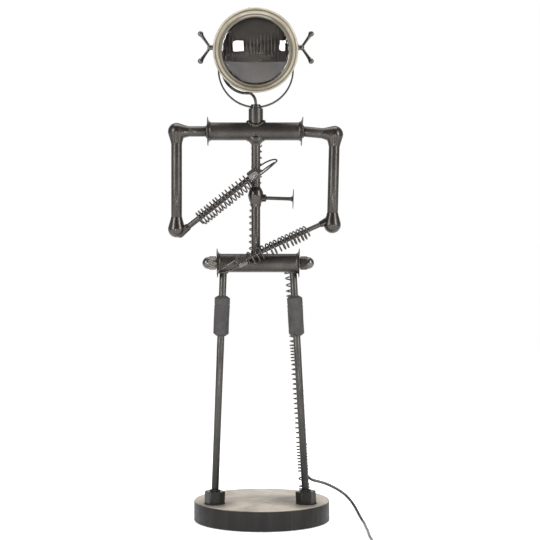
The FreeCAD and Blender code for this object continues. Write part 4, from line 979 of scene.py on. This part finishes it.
def loose_spring():
    """A wire wound round the lead, each stretch with its own pitch, one wide turn letting the flex out."""
    line = figure_lead(LEAD_FOOT_Z)
    line = line[np.argmax(line[:, 2] < SHOULDER_Z - 1):]
    side, across = frames_along(line, side=vec(1, 0, 0))
    travelled = np.concatenate([[0], np.cumsum(np.linalg.norm(np.diff(line, axis=0), axis=1))])
    exit_top = travelled[-1] - (FLEX_EXIT_Z - LEAD_FOOT_Z) * math.hypot(1, LEG_LEAN)
    start = np.interp(-LEAD_SPRING_TOP, -line[:, 2], travelled)
    back, hips = 190.0, 110.0
    leg = exit_top - start - (back + hips)
    lengths, counts = zip((back, 17), (hips, 9), (leg * 0.30, 11), (leg * 0.10, 6), (leg * 0.45, 17),
                          (leg * 0.15, 9), (22.0, 1), (7.0, 1.5))
    ends = start + np.concatenate([[0], np.cumsum(lengths)])
    turns = np.concatenate([[0], np.cumsum(counts)])
    turn = np.linspace(0, turns[-1], int(turns[-1] * 28))
    along = np.interp(turn, turns, ends)

    def at(values):
        return np.stack([np.interp(along, travelled, values[:, axis]) for axis in range(3)], -1)

    radius = (LEAD_CURL + 0.35 * np.sin(turn * 1.7) + 0.25 * np.sin(turn * 3.9))[:, None]
    wire = at(line) + radius * spun(2 * math.pi * turn[:, None], at(side), at(across))
    heights, shifts = zip((60, -2.2), (380, -2.0), (440, -2.8), (470, 0), (500, -0.9), (560, -0.9),
                          (600, 1.5), (672, 1.5))
    wire[:, 0] += np.interp(wire[:, 2], heights, shifts)
    swept("long_spring", wire, LEAD_WIRE, WIRE_LOOK, "lead_spring", "spring_wire", around=10)


swept("figure_flex", figure_lead(FLEX_START_Z), FLEX, FLEX_LOOK, "body_lead", "flex", around=20)
loose_spring()


# Yoke: a flat strap bent to a U with eyes at its ends, and a pad welded on where it turns on the neck.
YOKE_R = 65.9
STRAP_THICK = 3.0
STRAP_HALF = 8.0
YOKE_DEEP = 67.4
YOKE_CENTRE_Z = PAD_BOTTOM + YOKE_DEEP


def make_yoke():
    """The strap follows a line of (x, z), with the way out across it and half its width at each point."""
    eye = np.linspace(0.02, math.pi / 2, 10)
    rises = np.concatenate([PIVOT_Z + STRAP_HALF * np.cos(eye), [PIVOT_Z - 20, YOKE_CENTRE_Z + 4]])
    halves = np.concatenate([STRAP_HALF * np.sin(eye), [STRAP_HALF, STRAP_HALF]])
    bend = np.linspace(math.pi, 2 * math.pi, 73)
    arc_out = np.stack([np.cos(bend), np.sin(bend)], -1)
    right = np.stack([np.full(len(rises), YOKE_R), rises], -1)
    right_out = np.tile([1.0, 0.0], (len(rises), 1))
    centre = np.concatenate([right * (-1, 1), YOKE_R * arc_out + (0, YOKE_CENTRE_Z), right[::-1]])
    out = np.concatenate([-right_out, arc_out, right_out])
    half = np.concatenate([halves, np.full(len(bend), STRAP_HALF), halves[::-1]])
    section = oblong(1.0, 1.0, 0.45, count=24)
    width = section[:, 0] * half[:, None]
    thick = section[:, 1] * STRAP_THICK / 2
    points = np.stack([COLUMN_X + centre[:, :1] + out[:, :1] * thick, FIGURE_Y + width,
                       centre[:, 1:] + out[:, 1:] * thick], -1)
    piece("yoke", points, capped_faces(len(centre), len(section)), STEEL_LOOK, "yoke_strap", "yoke_steel",
          "yoke", crease=50)
    bottom = PAD_BOTTOM + 0.05
    pad = rounded((bottom, 5.1), (bottom, 9.5, 0.4), (740.4, 9.5, 0.4), (740.4, 5.1))
    neck_ring("yoke_pad", pad, STEEL_LOOK, None, "yoke_steel", body="yoke")


make_yoke()


# Headlamp: a deep sheet-steel bowl on the yoke's pivots, a stepped rim in aged cream paint, a rubber ring,
# a fluted glass, and behind it a silvered reflector with its bulb. Its own axis points forward and 15
# degrees down.
TILT = math.radians(15.0)
pivot = column(PIVOT_Z)
FORWARD = vec(0, -math.cos(TILT), -math.sin(TILT))
UPWARD = vec(0, -math.sin(TILT), math.cos(TILT))
ACROSS = vec(1, 0, 0)
BOSS_FACE = 62.9
GASKET_R = 61.5


def in_lamp(x, up, forward):
    return pivot + x * ACROSS + up * UPWARD + forward * FORWARD


def lamp_lathe(name, profile, look, node, slot, around=160, **more):
    lathe(name, profile, pivot, FORWARD, look, node, slot, around=around, body="headlamp", **more)


def arc(first, middle, last, steps=8):
    """Points on the circle through three (along, out) points, after the first and up to the last."""
    a, b, c = complex(*first), complex(*middle), complex(*last)
    ratio = (c - a) / (b - a)
    centre = a + (b - a) * (ratio - abs(ratio) ** 2) / (2j * ratio.imag)
    sweep = np.angle((b - centre) / (a - centre)) + np.angle((c - centre) / (b - centre))
    points = centre + (a - centre) * np.exp(1j * sweep * np.arange(1, steps + 1) / steps)
    return list(zip(points.real, points.imag))


def bowl_line(inset):
    """The bowl's side from its front edge to the middle of its back."""
    front, back = 71.2 - inset, -58.0 + inset
    edge, shoulder, tail = (26.5, front), (20.5, 0.952 * front), (-44.0 + inset / 2, 0.393 * front)
    line = [(36.5, front), edge] + arc(edge, (24.0, 0.987 * front), shoulder)
    line += arc(shoulder, (-10.0, 0.713 * front), tail, steps=20)
    return line + arc(tail, (-54.0 + inset, 0.24 * front), (back, 0.1 * front)) + [(back, 0)]


lamp_lathe("bowl", bowl_line(1.4)[::-1] + bowl_line(0), STEEL_LOOK, "lamp_bowl", "bowl_paint")
for side, out in SIDES.items():
    boss = rounded((48, 0), (48, 9.0), (BOSS_FACE, 9.0, 0.5), (BOSS_FACE, 0))
    lathe("bowl_boss_" + side, boss, pivot, vec(out, 0, 0), STEEL_LOOK, slot="bowl_paint", body="headlamp",
          around=48)
    ring = rounded((BOSS_FACE, 4.1), (BOSS_FACE, 9.0, 0.3), (64.1, 9.0, 0.3), (64.1, 4.1))
    lathe("pivot_washer_" + side, ring, pivot, vec(out, 0, 0), STEEL_LOOK, "pivot_washers", "neck_hardware",
          body="headlamp", ring=True, around=48)


def cream_paint():
    """Old cream paint: painted shade with some dirt browns the grooves and the inner edge. It is rubbed pale
    on the rolls, with fine runs and specks.
    """
    look = Look("cream_paint")
    shade_and_dirt_tone = look.attribute("tone")
    stain = look.noise(45, detail=5, roughness=0.65)
    speck = look.noise(700, detail=3)
    clean = look.ramp(stain, (0.3, (0.285, 0.250, 0.172)), (0.7, (0.45, 0.404, 0.315)))
    # Painted shade, with some dirt, in the grooves and along the inner edge.
    shaded_and_dirty = look.mix(shade_and_dirt_tone, clean, (0.055, 0.044, 0.030))
    look.height((speck, 0.00004), (look.noise(160), 0.0001))
    return look.finish(
        Base_Color=look.mix(look.ramp(speck, (0.68, 0.0), (0.8, 0.4)), shaded_and_dirty, (0.12, 0.09, 0.06)),
        Metallic=0.25,
        Roughness=look.ramp(stain, (0.3, 0.30), (0.7, 0.44)),
        Coat_Weight=0.3,
        Coat_Roughness=0.15,
    )


def make_rim(around=240):
    """The rim, with a tone that is one at the bottom of its two grooves and high along its inner edge, where
    the paint is darkened as painted shade with some dirt.
    """
    roll = [(33.0 + 3.1 * (1 - math.cos(t)), 71.9 + 2.8 * math.sin(t))
            for t in np.linspace(0.25, math.pi - 0.35, 12)]
    crown = [(46.9 + 2.2 * math.sin(t), 60.0 - 1.3 * math.cos(t)) for t in np.linspace(2.2, 0.2, 7)]
    steps = [(38.9, 71.3), (38.5, 70.6), (38.7, 69.9), (39.8, 68.8), (41.8, 66.9), (43.8, 65.3),
             (44.7, 64.6), (44.5, 64.0), (44.4, 63.5), (45.0, 62.9), (46.2, 62.2), (47.6, 61.5)]
    inside = [(46.6, 58.7), (45.6, 58.7), (45.6, GASKET_R), (40.0, GASKET_R), (36.5, 71.3)]
    profile = np.array([(27, 71.3), (27, 72.4), (27.4, 72.7), (32.6, 72.6)] + roll + steps + crown + inside)
    forward, out = profile.T
    tones = 0.75 * np.clip((66.0 - out) / 4, 0, 1)
    for groove_forward, groove_out in ((38.6, 70.6), (44.5, 64.0)):
        tones = np.maximum(tones, np.exp(-((forward - groove_forward) ** 2 + (out - groove_out) ** 2) / 1.8))
    piece("rim", turned(profile, pivot, FORWARD, around), grid_faces(len(profile), around, closed=True),
          cream_paint(), "lamp_rim", "rim_paint", "headlamp", tones=np.repeat(tones, around))


make_rim()
tip = math.radians(98.8)
screw = rounded((71.2, 0), (71.2, 1.4), (72.9, 1.4), (72.9, 2.2, 0.2), (74.4, 2.2, 0.8), (74.4, 0))
lathe("rim_clamp_screw", screw, pivot + FORWARD * 30, spun(tip, ACROSS, UPWARD), STEEL_LOOK, "rim_screw",
      "clamp_screws", body="headlamp", around=32)
gasket = rounded((44, 58.7), (44, GASKET_R), (45.6, GASKET_R), (45.6, 58.7))
lamp_lathe("gasket", gasket, SOFT_LOOK, "lens_gasket", "soft_rubber", ring=True)


def clear_glass(name, tint_and_shade, rib_tint=None):
    """Glass whose ribs, where the tone is one, may be clearer than the rest; for the lens, the rest is
    tinted grey as painted shade.
    """
    look = Look(name)
    look.height((look.noise(35, detail=2), 0.00005))
    if rib_tint:
        tint_and_shade = look.ramp(look.attribute("tone"), (0.15, tint_and_shade), (0.7, rib_tint))
    return look.finish(Base_Color=tint_and_shade, Transmission_Weight=1.0, IOR=1.5, Roughness=0.02)


def make_lens():
    """A disc, domed in front and fluted upright behind. The depth falls off as the square from each rib."""
    around, reach, flutes, deep = 320, 57.0, 19, 1.5
    dome_radius, dome_rise = 57.7, 5.0
    angle = full_turn(around)
    out = np.concatenate([np.linspace(0.2, 56.4, 84), [reach, dome_radius, 59.5, GASKET_R]])[:, None]
    x, up = out * np.cos(angle), out * np.sin(angle)
    place = (x + reach) / (2 * reach) * flutes
    from_rib = (2 * (place - np.floor(place)) - 1) ** 2
    back = 41.0 + deep * (1 - from_rib) * np.clip((57.2 - out) / 1.2, 0, 1)
    front = 44.0 + dome_rise * (1 - (np.minimum(out, dome_radius) / dome_radius) ** 2) + 0 * angle
    x, up = np.concatenate([x, x[::-1]]), np.concatenate([up, up[::-1]])
    forward = np.concatenate([back, front[::-1]])
    # The lens glass is tinted grey as painted shade for the dark refraction in its flutes, and is clear
    # where the tone is one.
    look = clear_glass("lens_glass", (0.36, 0.34, 0.325), (1.0, 0.97, 0.94))
    points = in_lamp(x[..., None], up[..., None], forward[..., None])
    piece("glass", points, capped_faces(len(x), around), look, "lens", "lens_glass", "headlamp", crease=25,
          tones=np.concatenate([from_rib, from_rib[::-1]]))


make_lens()


def silvering():
    look = Look("silvering")
    haze = look.noise(60, detail=4)
    look.height((look.noise(30), 0.0001))
    return look.finish(Base_Color=look.ramp(haze, (0.3, (0.22, 0.21, 0.20)), (0.7, (0.30, 0.29, 0.275))),
                       Metallic=1.0, Roughness=look.ramp(haze, (0.3, 0.08), (0.7, 0.16)))


DISH_R = 57.5
DISH_BACK = -14.0
HOLE_R = 11.0
steep = DISH_R**2 / (39.0 - DISH_BACK)
hole = DISH_BACK + HOLE_R**2 / steep
inner = [(DISH_BACK + r * r / steep, r) for r in np.linspace(HOLE_R, DISH_R, 26)]
outer = [(f - 1.2, r + 0.8) for f, r in inner[::-1]]
dish = inner + [(40.6, 58.2), (41.0, GASKET_R), (39.8, GASKET_R), (39.4, 59.2)] + outer
lamp_lathe("dish", dish, silvering(), "reflector", "reflector", ring=True)
holder = rounded((hole - 22, 0), (hole - 22, 8.8, 1), (hole - 8.4, 10.8, 1), (hole - 8.4, 13.5, 0.4),
                 (hole - 2.4, 13.5, 0.4), (hole - 2.4, HOLE_R), (hole + 2, 10.9, 0.6), (hole + 2, 6.9, 0.4),
                 (hole - 6, 6.8), (hole - 6, 0))
lamp_lathe("bulb_socket", holder, MOULDING_LOOK, "bulb_holder", "holder", around=64)
start = hole + 2
bulb = [(start - 6, 0), (start - 6, 6.8), (start + 1, 6.8)]
bulb += [(start + 1 + 14.5 * t, 6.8 + 4.7 * math.sin(t * math.pi / 2)) for t in np.linspace(0.1, 1, 8)]
bulb += ball_outline(start + 15.5, 11.5, 0.15, math.pi / 2, 9)
lamp_lathe("bulb_glass", bulb, clear_glass("bulb_glass", (0.96, 0.9, 0.8)), "bulb", "bulb_glass", around=64)
sweep = np.linspace(-1, 1, 121)
curl = 2 * math.pi * 7 * sweep
coil_line = np.stack([3.2 * sweep, 0.7 * np.sin(curl), start + 16.0 + 0.7 * np.cos(curl)], -1)
stem = np.stack([np.linspace(2.0, 3.2, 12), np.zeros(12), np.linspace(start - 2.0, start + 15.5, 12)], -1)
wire = np.concatenate([stem * (-1, 1, 1), coil_line, stem[::-1]])
swept("filament", in_lamp(*(wire[:, axis, None] for axis in range(3))), 0.3, PLATED_LOOK, slot="reflector",
      body="headlamp", around=8)


# Wiring at the head: a grommet low in the bowl's side and the short lead that comes up out of the neck's
# pivot.
GROMMET_TURN = math.radians(215.0)
GROMMET_OUT = 50.77
grommet_side = vec(math.cos(GROMMET_TURN), math.sin(GROMMET_TURN))
grommet_heading = in_lamp(*unit(vec(*grommet_side, -0.25))) - pivot
grommet_place = in_lamp(*GROMMET_OUT * grommet_side, -10.0)
grommet = rounded((-5, 2.5), (-5, 4.0, 0.4), (-0.6, 4.0), (0.4, 5.5, 0.4), (4.0, 5.5, 1.2), (4.0, 2.5))
lathe("head_grommet", grommet, grommet_place, grommet_heading, SOFT_LOOK, "bowl_grommet", "soft_rubber",
      ring=True, body="headlamp", around=40)
lead_end = column(NIPPLE_TOP + 0.3)
bow = np.linspace(0, 1, 7)
bow_turn = np.radians(182.5 + 76.0 * bow)
bow_reach = YOKE_DEEP - 7.8 - 18.2 * bow**1.3
bow_points = column(YOKE_CENTRE_Z) + np.stack(
    [bow_reach * np.cos(bow_turn), 18.8 * (1 - bow) ** 2, bow_reach * np.sin(bow_turn)], -1)
lead_line = line_points("head_lead_line", [
    grommet_place + grommet_heading, grommet_place + grommet_heading * 12, *bow_points,
    lead_end + vec(0, 0, 9), lead_end])
head_lead = swept("head_flex", lead_line, FLEX, FLEX_LOOK, "head_lead", "flex", body=None, around=20)
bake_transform(head_lead)


# Clamp screws: one at each pivot, a hexagon hub with two ball-ended wings on a shank that goes through the
# yoke's eye into the bowl's boss. Each turns on its own.
WING_LEAN = math.radians(55.0)
WING_BALL = 5
HUB = 80.9


def clamp_screw(side, out):
    body, heading = "clamp_" + side, vec(out, 0, 0)
    hub = pivot + heading * HUB
    stations = [(67.7, 6.6), (68.3, 7.5), (75.0, 7.5), (75.7, 6.4), (75.9, 4.6), (HUB, 4.4)]
    hexed("clamp_hub_" + side, stations, 13.0, pivot, heading, CAP_LOOK, "clamp_screw_" + side,
          "clamp_screws", side=UPWARD, around=90, body=body)
    shapes = [turned_shape(ball_outline(0, WING_BALL, -math.pi / 2, math.pi / 2, 17), hub, heading, 40)]
    wing = [(0, 0), (0, 3.0), (6, 2.35), (16, 2.5), (23, 3.0)]
    wing += ball_outline(29.5, WING_BALL, 0.8 - math.pi / 2, math.pi / 2, 14)
    for up in (1, -1):
        lean = vec(out * math.cos(WING_LEAN), 0, up * math.sin(WING_LEAN))
        shapes.append(turned_shape(wing, hub, lean, 32))
    piece("clamp_wings_" + side, *merged(*shapes), CAP_LOOK, slot="clamp_screws", body=body)
    shank = rounded((53.4, 0), (53.4, 4.0, 0.4), (68.0, 4.0), (68.0, 0))
    lathe("clamp_shank_" + side, shank, pivot, heading, STEEL_LOOK, slot="clamp_screws", body=body,
          around=32)


clamp_screw("left", -1)
clamp_screw("right", 1)


# Studio: white paper under the lamp, two tall soft boxes at the sides, two small ones low in front, a wide
# one overhead, and a surround that is white behind the lamp and dim in front of it.
def white_paper():
    look = Look("white_paper")
    look.height((look.noise(900), 0.00002))
    seen = look.rays("Is Camera Ray", "Is Glossy Ray", "Is Transmission Ray")
    return look.finish(Base_Color=(0.93, 0.93, 0.93), Roughness=0.9, Emission_Color=(1, 1, 1),
                       Emission_Strength=look.maths("MULTIPLY", seen, 0.6))


floor_corners = vec((-4000, -1500, 0), (4000, -1500, 0), (4000, 4000, 0), (-4000, 4000, 0))
floor = piece("floor", floor_corners, [range(4)], white_paper(), body=None)
floor.location.z = -0.0002


def soft_box(name, place, aim, wide, high, power):
    light = bpy.data.lights.new(name, "AREA")
    light.shape = "RECTANGLE"
    light.size, light.size_y = wide, high
    light.energy = power
    lamp = bpy.data.objects.new(name, light)
    lamp.location = place
    direction = Vector(aim) - Vector(place)
    lamp.rotation_euler = direction.to_track_quat("-Z", "Y").to_euler()
    bpy.context.collection.objects.link(lamp)


LAMP_FACE = (-0.01, -0.09, 0.83)
FIGURE_MIDDLE = (0, 0, 0.5)
soft_box("soft_box_left", (-1.7, -1.5, 1.1), FIGURE_MIDDLE, 0.7, 1.6, 38)
soft_box("soft_box_right", (1.7, -1.4, 1.1), FIGURE_MIDDLE, 0.7, 1.6, 38)
soft_box("soft_box_over", (0, 0.2, 2.6), FIGURE_MIDDLE, 1.8, 1.2, 30)
soft_box("low_box_left", (-0.45, -2.0, 0.16), LAMP_FACE, 0.25, 0.25, 7)
soft_box("low_box_right", (0.63, -2.0, 0.16), LAMP_FACE, 0.14, 0.25, 5)

world = bpy.data.worlds.new("surround")
bpy.context.scene.world = world
surround = Nodes(world)
ray = surround.node("ShaderNodeTexCoord", output="Generated")
towards_back = surround.node("ShaderNodeSeparateXYZ", output="Y", Vector=ray)
share = surround.node("ShaderNodeMapRange", Value=towards_back, From_Min=-1)
greys = surround.ramp(share, (0.0, 0.14), (0.12, (0.15, 0.15, 0.153)), (0.5, (0.36, 0.36, 0.3672)),
                      (0.85, (0.5, 0.5, 0.51)), (0.94, 1.0))
mirrored = surround.mix(surround.rays("Is Glossy Ray", "Is Transmission Ray"), (0.42, 0.42, 0.43), greys)
seen = surround.mix(surround.rays("Is Camera Ray"), mirrored, (1, 1, 1))
surround.feed(surround.nodes["Background"].inputs["Color"], seen)
bpy.context.scene.view_settings.view_transform = "Standard"
